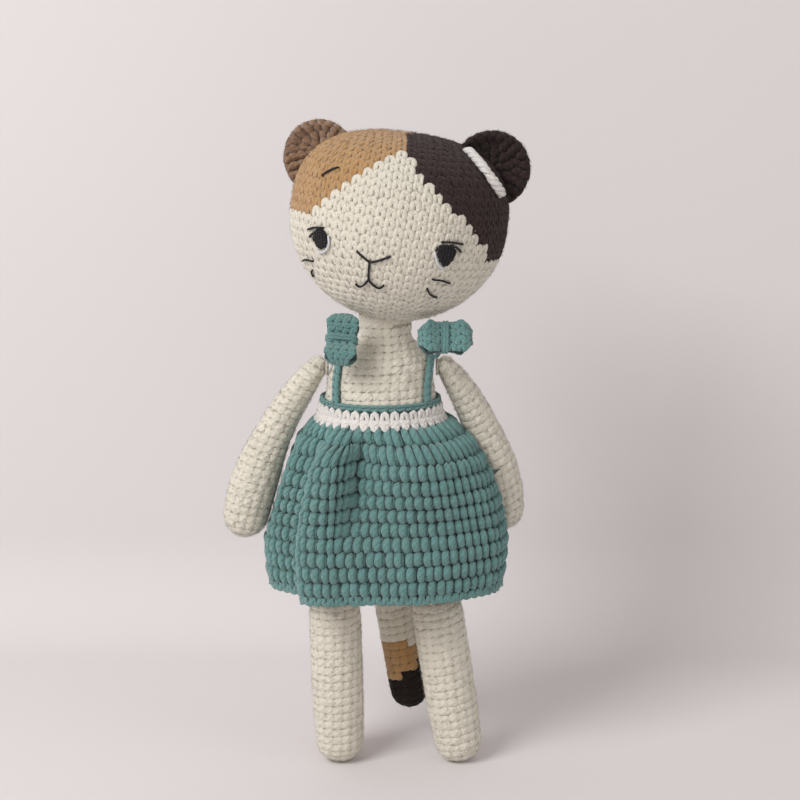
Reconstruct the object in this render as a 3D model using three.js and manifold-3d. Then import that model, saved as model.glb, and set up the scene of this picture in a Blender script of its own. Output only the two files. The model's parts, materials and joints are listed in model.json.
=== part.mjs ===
// A crocheted toy cat in a sleeveless dress, its arms beside the skirt and its head on one side.
// Millimetres, +Z up. The cat faces -Y, so its own left is +X, and it stands on the plane Z = 0.
import * as THREE from "three";
import { mergeVertices } from "three/addons/utils/BufferGeometryUtils.js";
import Module from "manifold-3d";

const wasm = await Module();
wasm.setup();

// Crochet fabric, sewing yarn and the gap that touching pieces keep
const FABRIC = 1.8;
const FIT = 0.3;
const SEWING_YARN = 1.4;
const SEAM_GAP = 0.05;

// Head: a wide ball, drawn in to the neck below and flatter on the crown
const HEAD_RADIUS = 52.8;
const CHIN_TO_CHEEKS = 50;
const CHEEKS_TO_CROWN = 41;
const CROWN_POWER = 2.6;
const HEAD_MOUTH = 7;
const HEAD_TILT = 7.5;
const HEAD_TURN = -10;
const NECK_PIVOT_HEIGHT = 229.5;

// Ears: cupped discs, sewn on by hand, so each has its own place
const EAR_CUP = 4.2;
const EAR_EDGE = 2.6;
const EARS = [
  { name: "right", radius: 18.9, place: [-43, 4, 72.6], turn: 6, splay: -6 },
  { name: "left", radius: 18.8, place: [40.6, 6, 78.8], turn: 8, splay: 10 },
];
const EAR_BAR_THICK = 4.3;
const EAR_BAR_WAIST = 3.1;

// Face: satin-stitched eyes with lashes, and single threads, each through places given by
// the azimuth from the face towards the cat's left and the height over the neck
const THREAD = 1.1;
const EYE_WIDE = 8.4;
const EYE_HIGH = 10.2;
const EYE_PAD = 1;
const EYES = [
  {
    name: "right",
    place: [-33.2, 39.1],
    lashes: [
      [[-42.5, 41.7], [-37, 43.8], [-31, 43.2]],
      [[-41.2, 38.3], [-38.4, 40], [-35, 41]],
    ],
    white: [[-27.6, 44.2], [-26.9, 39.4], [-29.4, 34.8]],
  },
  {
    name: "left",
    place: [35.6, 39.4],
    lashes: [
      [[33, 43.6], [38.4, 44.7], [44.9, 44.7]],
      [[37, 43], [41, 43.4], [44.4, 41.7]],
    ],
    white: [[29.4, 41.4], [29.6, 38.4], [32.4, 34.4]],
  },
];
const NOSE = [
  [[-10.2, 36.4], [-6.4, 33.8], [-2.9, 32.2]],
  [[-2.9, 32.2], [1.6, 34], [7.9, 36.4]],
  [[-2.9, 32.4], [-3.4, 28], [-3.7, 23.2]],
  [[-12.3, 20.1], [-9.7, 19.6], [-6.7, 20.9], [-3.7, 23.3], [-0.3, 21.4], [3.1, 20.6], [5.5, 21.8]],
];
const STITCHES = [
  { name: "whisker_right_upper", places: [[-59, 25], [-51, 26.7], [-42.6, 27]] },
  { name: "whisker_right_lower", places: [[-53, 18.6], [-51.4, 20.8], [-48.5, 22.1]] },
  { name: "whisker_left_upper", places: [[32.8, 27.6], [39, 27.4], [45.7, 26.1]] },
  { name: "whisker_left_lower", places: [[32, 22.9], [37, 21.9], [42.6, 18.4]] },
  { name: "brow_right", places: [[-38.8, 67.1], [-34.6, 70.9], [-28.9, 72.6]] },
];

// Body: a pear with a narrow neck, swayed a little to its right at the chest
const BODY_BOTTOM = 87;
const HIP_HEIGHT = 115;
const HIP_RADIUS = 36;
const CHEST_HEIGHT = 191;
const CHEST_RADIUS = 27.3;
const SHOULDER_HEIGHT = 207;
const SHOULDER_RADIUS = 24.2;
const NECK_RADIUS = 13;
const NECK_BASE = 221;
const NECK_TOP = 226.15;
const NECK_MOUTH = 6;
const BODY_DEPTH = 0.92;
const BODY_SWAY = -2.7;

// Arms: a thin upper end and a rounded hand, curved down beside the skirt
const ARM_PIVOT = 31.6;
const ARM_PIVOT_HEIGHT = 206;
const ARM_LENGTH = 96;
const ARM_TOP_RADIUS = 5;
const ARM_SEAM = 4;
const ARM_ELBOW_RADIUS = 9.2;
const HAND_RADIUS = 11.8;
const ARM_SPLAY_TOP = 40;
const ARM_SPLAY_HAND = 8;
const LEFT_ARM_IN = 5.5;
const LEFT_ARM_BACK = 13;
// Degrees that each arm swings back and forth from where it lies beside the skirt
const ARM_SWING = { right: [15, 45], left: [40, 0] };
const SWING_STEP = 5;

// Legs: straight tubes with round feet
const HIP_PIVOT = 26;
const HIP_PIVOT_HEIGHT = 79;
const LEG_RADIUS = 13;
const LEG_SEAM = 3;
const FOOT_RADIUS = 12;
const SOLE_CUT = 0.5;
const LEG_SPLAY = { right: -1.7, left: 9 };

// Tail: hangs behind the legs
const TAIL_ROOT = [3, 27, 82.6];
const TAIL_RADIUS = 10.3;
const TAIL_SEAM = 5.5;
const TAIL_LENGTH = 65;
const TAIL_LEAN = 9.2;

// Dress: a gathered skirt under a white band, two straps and two bows
const DRESS_TOP = 191.6;
const BAND_HIGH = 10;
const BAND_THICK = 2.4;
const EDGE_HIGH = 2.8;
const SKIRT_THICK = 2;
const HEM_HEIGHT = 98.5;
const HEM_ROW = 3;
const SKIRT_TOP_RADIUS = 33;
const SKIRT_RADIUS = 60.5;
const HEM_RADIUS = 59.2;
const SKIRT_TOP_DEPTH = 0.88;
const SKIRT_DEPTH = 0.69;
const SKIRT_SWAY_ENDS = 163;
const STRAP_WIDE = 5;
const STRAP_THICK = 2;
// Each strap's distance from the middle and how far over the shoulder's height it turns back
const STRAPS = { right: { out: 20.3, crest: 5.5 }, left: { out: 22, crest: 3.6 } };
const BOW_LONG = 26;
const BOW_WIDE = 15.5;
const BOW_LOOP = 9;
const KNOT_LONG = 4;
const BOW_PINCH = 0.78;
const BOW_WAIST = 1.6;
const KNOT_WALL = 1.5;
const TIE_THICK = 3;
const BOW_SEAT = 0.4;

// Folds of the skirt: azimuth from the front towards the cat's left, spread and depth at the hem
const FOLDS = [
  { azimuth: -51, spread: 9, depth: -3 },
  { azimuth: -33, spread: 8, depth: 4.4 },
  { azimuth: -18, spread: 7, depth: -4.2 },
  { azimuth: 8, spread: 16, depth: 1.6 },
  { azimuth: 62, spread: 12, depth: 1.8 },
  { azimuth: 136, spread: 12, depth: 2.4 },
  { azimuth: 160, spread: 9, depth: -2.6 },
  { azimuth: -168, spread: 12, depth: 2.2 },
  { azimuth: -140, spread: 9, depth: -2.8 },
  { azimuth: -116, spread: 10, depth: 1.8 },
];
// How far the skirt keeps off the arms that press it in
const PRESS_GAP = 2.3;

const IVORY = 0xded8c6;
const OCHRE = 0xc49460;
const EAR_BROWN = 0xa57d5f;
const DARK = 0x3c3030;
const TEAL = 0x6c968e;
const WHITE = 0xe4ded8;
const BLACK = 0x1e1e1e;
const FILLING = 0xf2f0ea;

const { degToRad, lerp, smoothstep } = THREE.MathUtils;
const vec = (x, y, z) => new THREE.Vector3(x, y, z);
const flat = (x, y) => new THREE.Vector2(x, y);

function matt(color) {
  return new THREE.MeshStandardMaterial({ color, roughness: 0.92, metalness: 0 });
}

// One closed skin with shared corners, no empty faces, and its faces pointing out
function weld(geometry) {
  const bare = new THREE.BufferGeometry();
  bare.setAttribute("position", geometry.getAttribute("position").clone());
  if (geometry.index) bare.setIndex(geometry.index.clone());
  const merged = mergeVertices(bare, 1e-4);
  const at = merged.getAttribute("position");
  const kept = [];
  let volume = 0;
  const [a, b, c] = [vec(), vec(), vec()];
  for (let i = 0; i < merged.index.count; i += 3) {
    const corner = [0, 1, 2].map((k) => merged.index.getX(i + k));
    if (new Set(corner).size < 3) continue;
    kept.push(corner);
    a.fromBufferAttribute(at, corner[0]);
    b.fromBufferAttribute(at, corner[1]);
    c.fromBufferAttribute(at, corner[2]);
    volume += a.dot(b.cross(c));
  }
  if (volume < 0) kept.forEach((corner) => corner.reverse());
  merged.setIndex(kept.flat());
  return merged;
}

function asSolid(geometry) {
  const skin = weld(geometry);
  const vertProperties = Float32Array.from(skin.getAttribute("position").array);
  const triVerts = Uint32Array.from(skin.index.array);
  return new wasm.Manifold(new wasm.Mesh({ numProp: 3, vertProperties, triVerts }));
}

function asGeometry(solid) {
  const { vertProperties, triVerts, numProp } = solid.getMesh();
  const geometry = new THREE.BufferGeometry();
  const places = [];
  for (let i = 0; i < vertProperties.length; i += numProp) {
    places.push(vertProperties[i], vertProperties[i + 1], vertProperties[i + 2]);
  }
  geometry.setAttribute("position", new THREE.Float32BufferAttribute(places, 3));
  geometry.setIndex(Array.from(triVerts));
  return geometry;
}

function cut(geometry, ...tools) {
  return asGeometry(tools.reduce((solid, tool) => solid.subtract(asSolid(tool)), asSolid(geometry)));
}

function join(first, ...others) {
  return asGeometry(others.reduce((solid, other) => solid.add(asSolid(other)), asSolid(first)));
}

// Moves every point of a geometry by a rule
function shaped(geometry, rule) {
  const at = geometry.getAttribute("position");
  const p = vec();
  for (let i = 0; i < at.count; i += 1) {
    p.fromBufferAttribute(at, i);
    rule(p);
    at.setXYZ(i, p.x, p.y, p.z);
  }
  return geometry;
}

// A turned form about Z from an outline of (radius, height)
function turned(outline, segments) {
  return new THREE.LatheGeometry(outline, segments).rotateX(Math.PI / 2);
}

// An outline moved inwards by a depth; a point on the axis stays on it
function inset(outline, depth) {
  const last = outline.length - 1;
  return outline.map((point, i) => {
    const along = outline[Math.min(i + 1, last)].clone().sub(outline[Math.max(i - 1, 0)]).normalize();
    if (point.x < 1e-6) along.set(i === 0 ? 1 : -1, 0);
    const moved = point.clone().add(flat(-along.y, along.x).multiplyScalar(depth));
    return flat(point.x < 1e-6 ? 0 : Math.max(moved.x, 0.05), moved.y);
  });
}

// A cover with a wall, open where its outline ends off the axis; outlines run upwards
function cover(outline, segments) {
  const inner = inset(outline, FABRIC);
  const closedBelow = outline[0].x < 1e-6;
  const wall = closedBelow ? [...outline, ...inner.reverse()] : [...outline.slice().reverse(), ...inner];
  return turned(wall, segments);
}

// The filling that a cover holds, from the outline of the cover without its opening
function filling(outline, segments) {
  return turned(inset(outline, FABRIC + FIT), segments / 2);
}

function ring(radius, thick, segments = 20, sides = 6) {
  const outline = [];
  for (let i = 0; i <= sides; i += 1) {
    const turn = (-i / sides) * 2 * Math.PI;
    outline.push(flat(radius + (thick / 2) * Math.cos(turn), (thick / 2) * Math.sin(turn)));
  }
  return turned(outline, segments);
}

// A ring of sewing yarn that lies round the top of a limb whose round end has this radius
function seamOn(limbRadius, radius) {
  const reach = limbRadius + FIT + SEAM_GAP + SEWING_YARN / 2;
  return ring(radius, SEWING_YARN, 16).translate(0, 0, Math.sqrt(reach ** 2 - radius ** 2));
}

// A length of yarn along a smooth line
function yarn(points, thick, steps, sides = 5) {
  const section = new THREE.Shape(new THREE.EllipseCurve(0, 0, thick / 2, thick / 2).getPoints(sides));
  const path = new THREE.CatmullRomCurve3(points);
  return new THREE.ExtrudeGeometry(section, { steps, extrudePath: path, bevelEnabled: false });
}

const cat = new THREE.Group();

function add(parent, name, geometry, color) {
  const mesh = new THREE.Mesh(weld(geometry), matt(color));
  mesh.name = name;
  parent.add(mesh);
  return mesh;
}

// The head's outline, from the neck to the crown; the mouth is where its cover stays open
function headOutline(mouth, steps) {
  const points = [];
  const start = Math.asin(mouth / HEAD_RADIUS);
  for (let i = 0; i < steps; i += 1) {
    const turn = lerp(start, Math.PI / 2, i / steps);
    points.push(flat(HEAD_RADIUS * Math.sin(turn), CHIN_TO_CHEEKS * (1 - Math.cos(turn))));
  }
  for (let i = 0; i <= steps; i += 1) {
    const turn = (i / steps) * (Math.PI / 2);
    const radius = i === steps ? 0 : HEAD_RADIUS * Math.cos(turn) ** (2 / CROWN_POWER);
    const rise = CHEEKS_TO_CROWN * Math.sin(turn) ** (2 / CROWN_POWER);
    points.push(flat(radius, CHIN_TO_CHEEKS + rise));
  }
  return points;
}

// A place on the head: azimuth from the face towards the cat's left, height over the neck
function onHead(azimuth, height, lift) {
  const share = (height - CHIN_TO_CHEEKS) / (height < CHIN_TO_CHEEKS ? CHIN_TO_CHEEKS : CHEEKS_TO_CROWN);
  const power = height < CHIN_TO_CHEEKS ? 2 : CROWN_POWER;
  const away = Math.abs(share);
  const radius = HEAD_RADIUS * (1 - away ** power) ** (1 / power);
  const reach = height < CHIN_TO_CHEEKS ? CHIN_TO_CHEEKS : CHEEKS_TO_CROWN;
  const normal = flat(
    (radius / HEAD_RADIUS) ** (power - 1) / HEAD_RADIUS,
    (Math.sign(share) * away ** (power - 1)) / reach,
  ).normalize();
  const out = radius + normal.x * lift;
  const turn = degToRad(azimuth);
  return vec(out * Math.sin(turn), -out * Math.cos(turn), height + normal.y * lift);
}

// Lays a flat piece, drawn in X and Z and facing -Y, on the head
function laidOnHead(geometry, azimuth, height, lift) {
  const here = onHead(azimuth, height, 0);
  const radius = Math.hypot(here.x, here.y);
  const slope = onHead(azimuth, height + 1, 0).distanceTo(here);
  return shaped(geometry, (p) => {
    const turn = azimuth + THREE.MathUtils.radToDeg(p.x / radius);
    p.copy(onHead(turn, height + p.z / slope, lift - p.y));
  });
}

const neckTilt = new THREE.Group();
neckTilt.position.set(0, 0, NECK_PIVOT_HEIGHT);
neckTilt.rotation.y = degToRad(HEAD_TILT);
cat.add(neckTilt);
const head = new THREE.Group();
head.rotation.z = degToRad(HEAD_TURN);
neckTilt.add(head);

add(head, "head_cover", cover(headOutline(HEAD_MOUTH, 9), 32), IVORY);
add(head, "head_stuffing", filling(headOutline(0, 9), 32), FILLING);
const headRoom = turned(inset(headOutline(0, 9), -FIT), 32);

// The yarn that sews the head's mouth to the neck lies round the mouth, under the head
const neckSeam = ring(HEAD_MOUTH, SEWING_YARN).translate(0, 0, -SEWING_YARN / 2 - FIT / 2);
add(neckTilt, "neck_seam", neckSeam, IVORY);

// A cupped disc, hollow towards the face
function earCup(radius) {
  const outline = new THREE.SplineCurve([
    flat(0, -EAR_CUP - EAR_EDGE),
    flat(radius * 0.55, -EAR_CUP * 0.75 - EAR_EDGE),
    flat(radius * 0.9, -EAR_EDGE),
    flat(radius, 0),
    flat(radius * 0.92, EAR_EDGE * 0.8),
    flat(radius * 0.7, -EAR_EDGE * 0.3),
    flat(radius * 0.35, -EAR_CUP * 0.6),
    flat(0, -EAR_CUP * 0.75),
  ]).getPoints(12);
  outline[0].x = 0;
  outline[outline.length - 1].x = 0;
  return turned(outline, 24).rotateX(Math.PI / 2);
}

function placedEar(ear, geometry) {
  return geometry
    .rotateX(degToRad(ear.turn))
    .rotateZ(degToRad(ear.splay))
    .translate(...ear.place);
}

for (const ear of EARS) {
  const cup = placedEar(ear, earCup(ear.radius));
  add(head, `ear_${ear.name}`, cut(cup, headRoom), ear.name === "left" ? DARK : EAR_BROWN);
}

// A bar of thick white yarn in two plump stitches, along the front of the left ear's foot
function barOutline(length) {
  const plump = EAR_BAR_THICK / 2;
  return new THREE.SplineCurve([
    flat(0, 0),
    flat(plump * 0.8, length * 0.06),
    flat(plump, length * 0.25),
    flat(EAR_BAR_WAIST / 2, length * 0.47),
    flat(plump, length * 0.72),
    flat(plump * 0.7, length * 0.95),
    flat(0, length),
  ]).getPoints(12);
}

{
  const lift = EAR_BAR_THICK / 2 + FIT;
  const path = new THREE.QuadraticBezierCurve3(
    onHead(66, 86.5, lift),
    onHead(61, 79.5, lift + 2),
    onHead(74, 68, lift),
  );
  const length = path.getLength();
  const outline = barOutline(length);
  outline[0].x = 0;
  outline[outline.length - 1].x = 0;
  const bar = shaped(turned(outline, 10), (p) => {
    const share = THREE.MathUtils.clamp(p.z / length, 0, 1);
    const along = path.getTangent(share);
    const out = path.getPoint(share).setZ(0).normalize();
    const side = along.clone().cross(out).normalize();
    const up = side.clone().cross(along);
    const [x, y] = [p.x, p.y];
    p.copy(path.getPoint(share)).addScaledVector(side, x).addScaledVector(up, y);
  });
  const leftEar = placedEar(EARS[1], earCup(EARS[1].radius + FIT));
  add(head, "ear_bar", cut(bar, headRoom, leftEar.translate(0, -FIT, 0)), WHITE);
}

// Eyes: satin stitches in the shape of a shield, wide above and narrow below
function eyePad() {
  const [w, h] = [EYE_WIDE / 2, EYE_HIGH / 2];
  const shield = new THREE.Shape();
  shield.moveTo(-w * 0.62, h * 0.86);
  shield.quadraticCurveTo(0, h * 1.08, w * 0.62, h * 0.86);
  shield.quadraticCurveTo(w * 1.06, h * 0.5, w * 0.94, h * 0.1);
  shield.quadraticCurveTo(w * 0.8, -h * 0.7, 0, -h);
  shield.quadraticCurveTo(-w * 0.8, -h * 0.7, -w * 0.94, h * 0.1);
  shield.quadraticCurveTo(-w * 1.06, h * 0.5, -w * 0.62, h * 0.86);
  const pad = new THREE.ExtrudeGeometry(shield, { depth: EYE_PAD, bevelEnabled: false, curveSegments: 3 });
  return pad.rotateX(Math.PI / 2);
}

// Threads sewn on the face, through their places
function sewn(places, lift = THREAD / 2 + FIT) {
  const points = places.map(([azimuth, height]) => onHead(azimuth, height, lift));
  return yarn(points, THREAD, 3 * (places.length - 1));
}

for (const { name, place, lashes, white } of EYES) {
  const pad = laidOnHead(eyePad(), ...place, FIT);
  const threads = lashes.map((places) => sewn(places, EYE_PAD));
  add(head, `eye_${name}`, join(pad, ...threads), BLACK);
  add(head, `eye_white_${name}`, sewn(white), WHITE);
}
add(head, "nose_mouth", join(...NOSE.map((places) => sewn(places))), BLACK);
for (const { name, places } of STITCHES) add(head, name, sewn(places), BLACK);

// The chest sways to the cat's right and comes back to the middle at the hips and the neck
function sway(height) {
  const below = smoothstep(height, BODY_BOTTOM, CHEST_HEIGHT);
  const above = 1 - smoothstep(height, CHEST_HEIGHT + 6, NECK_BASE);
  return BODY_SWAY * below * above;
}

function bodied(geometry) {
  return shaped(geometry, (p) => {
    p.y *= BODY_DEPTH;
    p.x += sway(p.z);
  });
}

const torsoCurve = new THREE.SplineCurve([
  flat(HIP_RADIUS, HIP_HEIGHT),
  flat(lerp(HIP_RADIUS, CHEST_RADIUS, 0.3), lerp(HIP_HEIGHT, CHEST_HEIGHT, 0.45)),
  flat(CHEST_RADIUS, CHEST_HEIGHT),
  flat(SHOULDER_RADIUS, SHOULDER_HEIGHT),
  flat(lerp(SHOULDER_RADIUS, NECK_RADIUS, 0.55), lerp(SHOULDER_HEIGHT, NECK_BASE, 0.6)),
  flat(NECK_RADIUS, NECK_BASE),
]);

// From the bottom of the body to the neck, which rounds in to its mouth under the head
function bodyOutline(steps, mouth) {
  const points = [];
  for (let i = 0; i < steps; i += 1) {
    const turn = (i / steps) * (Math.PI / 2);
    const rise = (HIP_HEIGHT - BODY_BOTTOM) * (1 - Math.cos(turn));
    points.push(flat(HIP_RADIUS * Math.sin(turn), BODY_BOTTOM + rise));
  }
  points.push(...torsoCurve.getPoints(steps + 3));
  for (const turn of [30, 60, 90]) {
    const lip = NECK_TOP - NECK_BASE;
    const angle = degToRad(turn);
    points.push(flat(NECK_RADIUS - lip * (1 - Math.cos(angle)), NECK_BASE + lip * Math.sin(angle)));
  }
  points.push(flat(mouth, NECK_TOP));
  return points;
}

add(cat, "body_cover", bodied(cover(bodyOutline(5, NECK_MOUTH), 28)), IVORY);
add(cat, "body_stuffing", bodied(filling(bodyOutline(5, 0), 28)), FILLING);

function bodyRadius(height) {
  const points = bodyOutline(12, NECK_MOUTH);
  const above = points.findIndex((point) => point.y >= height);
  const [low, high] = [points[above - 1], points[above]];
  return lerp(low.x, high.x, (height - low.y) / (high.y - low.y));
}

// A limb hangs from its pivot, from its round closed end up to the round top that turns on
// the body; its sections are radii at shares of its length, from the end upwards
function limbOutline(length, sections, mouth) {
  const [endRadius, endShare] = sections[0];
  const [topRadius] = sections[sections.length - 1];
  const points = [];
  for (const turn of [90, 72, 50, 25]) {
    const angle = degToRad(turn);
    const radius = turn === 90 ? 0 : endRadius * Math.cos(angle);
    points.push(flat(radius, -length * lerp(endShare, 1, Math.sin(angle))));
  }
  sections.forEach(([radius, share]) => points.push(flat(radius, -length * share)));
  const last = Math.asin(mouth / topRadius);
  for (let i = 1; i <= 4; i += 1) {
    const turn = lerp(Math.PI / 2, last, i / 4);
    const radius = i === 4 ? mouth : topRadius * Math.sin(turn);
    points.push(flat(radius, topRadius * Math.cos(turn)));
  }
  return points;
}

function addLimb(parent, name, side, { length, sections, mouth, color, finish }) {
  const skin = cover(limbOutline(length, sections, mouth), 16);
  const inside = filling(limbOutline(length, sections, 0), 16);
  add(parent, [name, "cover", side].filter(Boolean).join("_"), finish(skin), color);
  add(parent, [name, "stuffing", side].filter(Boolean).join("_"), finish(inside), FILLING);
}

const armSections = [
  [HAND_RADIUS * 0.96, 0.87],
  [HAND_RADIUS, 0.76],
  [lerp(ARM_ELBOW_RADIUS, HAND_RADIUS, 0.75), 0.6],
  [ARM_ELBOW_RADIUS, 0.42],
  [lerp(ARM_TOP_RADIUS, ARM_ELBOW_RADIUS, 0.45), 0.13],
  [ARM_TOP_RADIUS, 0],
];

// The middle line of an arm: it leaves the shoulder wide and ends nearly upright
function armLine(along) {
  const slope = degToRad(ARM_SPLAY_HAND - ARM_SPLAY_TOP) / ARM_LENGTH;
  const first = degToRad(ARM_SPLAY_TOP);
  const here = first + slope * along;
  const out = (Math.cos(first) - Math.cos(here)) / slope;
  const down = (Math.sin(here) - Math.sin(first)) / slope;
  return { out, down, here };
}

// Curves a hanging arm along its line
function curved(side) {
  return (geometry) =>
    shaped(geometry, (p) => {
      const { out, down, here } = armLine(Math.max(-p.z, 0));
      const across = p.x * side;
      const above = Math.max(p.z, 0);
      const x = out + across * Math.cos(here) - above * Math.sin(here);
      const z = across * Math.sin(here) + above * Math.cos(here) - down;
      p.set(side * x, p.y, z);
    });
}

// The balls of an arm along its middle line, in each place that it swings through beside the
// skirt, which gives way to them
const armBalls = [];

for (const [name, side] of [["right", -1], ["left", 1]]) {
  const shoulder = new THREE.Group();
  shoulder.position.set(sway(ARM_PIVOT_HEIGHT) + side * ARM_PIVOT, 0, ARM_PIVOT_HEIGHT);
  cat.add(shoulder);
  const seam = seamOn(ARM_TOP_RADIUS, ARM_SEAM).rotateY((-side * Math.PI) / 2);
  add(shoulder, `shoulder_seam_${name}`, seam, IVORY);
  const arm = new THREE.Group();
  if (name === "left") arm.rotation.set(degToRad(LEFT_ARM_BACK), degToRad(LEFT_ARM_IN), 0, "XYZ");
  shoulder.add(arm);
  addLimb(arm, "arm", name, {
    length: ARM_LENGTH,
    sections: armSections,
    mouth: ARM_SEAM - SEWING_YARN,
    color: IVORY,
    finish: curved(side),
  });
  const radii = new THREE.SplineCurve(armSections.map(([radius, share]) => flat(share, radius)).reverse());
  const [back, forth] = ARM_SWING[name];
  for (let swing = -back; swing <= forth; swing += SWING_STEP) {
    for (let i = 2; i <= 20; i += 1) {
      const share = (i / 20) * armSections[0][1];
      const { out, down } = armLine(share * ARM_LENGTH);
      const centre = vec(side * out, 0, -down).applyEuler(arm.rotation);
      centre.applyAxisAngle(vec(-1, 0, 0), degToRad(swing)).add(shoulder.position);
      armBalls.push({ centre, radius: radii.getPoint(i / 20).y + PRESS_GAP });
    }
  }
}

// Each foot is cut flat where it stands
const floorBlock = new THREE.BoxGeometry(400, 400, 40).translate(0, 0, -20);
for (const [name, side] of [["right", -1], ["left", 1]]) {
  const splay = degToRad(LEG_SPLAY[name]);
  const footCentre = (HIP_PIVOT_HEIGHT - FOOT_RADIUS + SOLE_CUT) / Math.cos(splay);
  const length = footCentre + FOOT_RADIUS;
  const sections = [
    [FOOT_RADIUS, footCentre / length],
    [LEG_RADIUS * 0.99, 0.6],
    [LEG_RADIUS, 0.3],
    [LEG_RADIUS, 0],
  ];
  const placed = (geometry) => {
    geometry.rotateY(-side * splay).translate(side * HIP_PIVOT, 0, HIP_PIVOT_HEIGHT);
    return cut(geometry, floorBlock);
  };
  const seam = seamOn(LEG_RADIUS, LEG_SEAM).translate(side * HIP_PIVOT, 0, HIP_PIVOT_HEIGHT);
  add(cat, `hip_seam_${name}`, seam, IVORY);
  const mouth = LEG_SEAM - SEWING_YARN;
  addLimb(cat, "leg", name, { length, sections, mouth, color: IVORY, finish: placed });
}

{
  const tail = new THREE.Group();
  tail.position.set(...TAIL_ROOT);
  cat.add(tail);
  add(tail, "tail_seam", seamOn(TAIL_RADIUS, TAIL_SEAM), IVORY);
  addLimb(tail, "tail", "", {
    length: TAIL_LENGTH,
    sections: [
      [TAIL_RADIUS * 0.97, 0.84],
      [TAIL_RADIUS, 0.5],
      [TAIL_RADIUS, 0],
    ],
    mouth: TAIL_SEAM - SEWING_YARN,
    color: OCHRE,
    finish: (geometry) => geometry.rotateY(-degToRad(TAIL_LEAN)),
  });
}

// The skirt's outline and how its folds stand out
const skirtTop = DRESS_TOP - BAND_HIGH - FIT;
const skirtCurve = new THREE.SplineCurve([
  flat(SKIRT_TOP_RADIUS, skirtTop),
  flat(lerp(SKIRT_TOP_RADIUS, SKIRT_RADIUS, 0.46), lerp(skirtTop, HEM_HEIGHT, 0.16)),
  flat(lerp(SKIRT_TOP_RADIUS, SKIRT_RADIUS, 0.8), lerp(skirtTop, HEM_HEIGHT, 0.41)),
  flat(SKIRT_RADIUS, lerp(skirtTop, HEM_HEIGHT, 0.72)),
  flat(HEM_RADIUS, HEM_HEIGHT),
]);

function skirtRadius(height) {
  const points = skirtCurve.getPoints(24);
  const below = points.findIndex((point) => point.y <= height);
  if (below < 1) return below < 0 ? HEM_RADIUS : SKIRT_TOP_RADIUS;
  const [high, low] = [points[below - 1], points[below]];
  return lerp(low.x, high.x, (height - low.y) / (high.y - low.y));
}

function bell(angle, centre, spread) {
  const away = THREE.MathUtils.euclideanModulo(angle - centre + 180, 360) - 180;
  return Math.exp(-((away / spread) ** 2));
}

// How far a place on the outer side of the skirt has to give way to the arms, inwards
function pressed(place) {
  const inwards = place.clone().setZ(0).normalize().negate();
  let push = 0;
  for (const { centre, radius } of armBalls) {
    const to = place.clone().sub(centre);
    const middle = -to.dot(inwards);
    const aside = Math.sqrt(Math.max(to.lengthSq() - middle ** 2, 0));
    if (aside >= radius || middle >= radius) continue;
    push = Math.max(push, middle + Math.sqrt(radius ** 2 - aside ** 2));
  }
  return inwards.multiplyScalar(push);
}

// Lays a turned form on the skirt's line: flatter front to back, folded, and pressed by the arms
function draped(geometry) {
  return shaped(geometry, (p) => {
    const drop = smoothstep(-p.z, -skirtTop, -HEM_HEIGHT);
    const radius = Math.hypot(p.x, p.y);
    const azimuth = THREE.MathUtils.radToDeg(Math.atan2(p.x, -p.y));
    let out = 0;
    for (const fold of FOLDS) out += drop * fold.depth * bell(azimuth, fold.azimuth, fold.spread);
    const depth = lerp(SKIRT_TOP_DEPTH, SKIRT_DEPTH, Math.min(1, 1.6 * drop));
    const aside = sway(p.z) * smoothstep(p.z, SKIRT_SWAY_ENDS, DRESS_TOP);
    const laid = (reach) => vec((p.x * reach) / radius + aside, ((p.y * reach) / radius) * depth, p.z);
    const outerSide = laid(Math.max(radius, skirtRadius(p.z)) + out);
    p.copy(laid(radius + out)).add(pressed(outerSide));
  });
}

{
  const outer = [
    ...skirtCurve.getPoints(8),
    flat(HEM_RADIUS + 0.3, HEM_HEIGHT - HEM_ROW / 2),
    flat(HEM_RADIUS - SKIRT_THICK / 3, HEM_HEIGHT - HEM_ROW),
  ];
  const inner = inset(outer.slice().reverse(), SKIRT_THICK).reverse();
  inner[inner.length - 1].y = outer[outer.length - 1].y;
  const wall = [...outer, ...inner.reverse(), outer[0]];
  add(cat, "dress_skirt", draped(turned(wall, 54)), TEAL);
}

// The white band and the thin edge over it follow the chest
{
  const [low, high] = [DRESS_TOP - BAND_HIGH, DRESS_TOP - EDGE_HIGH - FIT];
  const [lowIn, highIn] = [bodyRadius(low) + FIT, bodyRadius(high) + FIT];
  const mid = (low + high) / 2;
  const band = [
    flat(lowIn + BAND_THICK * 0.8, low),
    flat((lowIn + highIn) / 2 + BAND_THICK, mid),
    flat(highIn + BAND_THICK * 0.8, high),
    flat(highIn, high),
    flat(lowIn, low),
    flat(lowIn + BAND_THICK * 0.8, low),
  ];
  add(cat, "dress_band", bodied(turned(band, 36)), WHITE);
  const edge = ring(highIn + SEWING_YARN / 2 + FIT, SEWING_YARN, 36);
  edge.scale(1, 1, EDGE_HIGH / SEWING_YARN).translate(0, 0, DRESS_TOP - EDGE_HIGH / 2);
  add(cat, "dress_edge", bodied(edge), TEAL);
}

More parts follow.
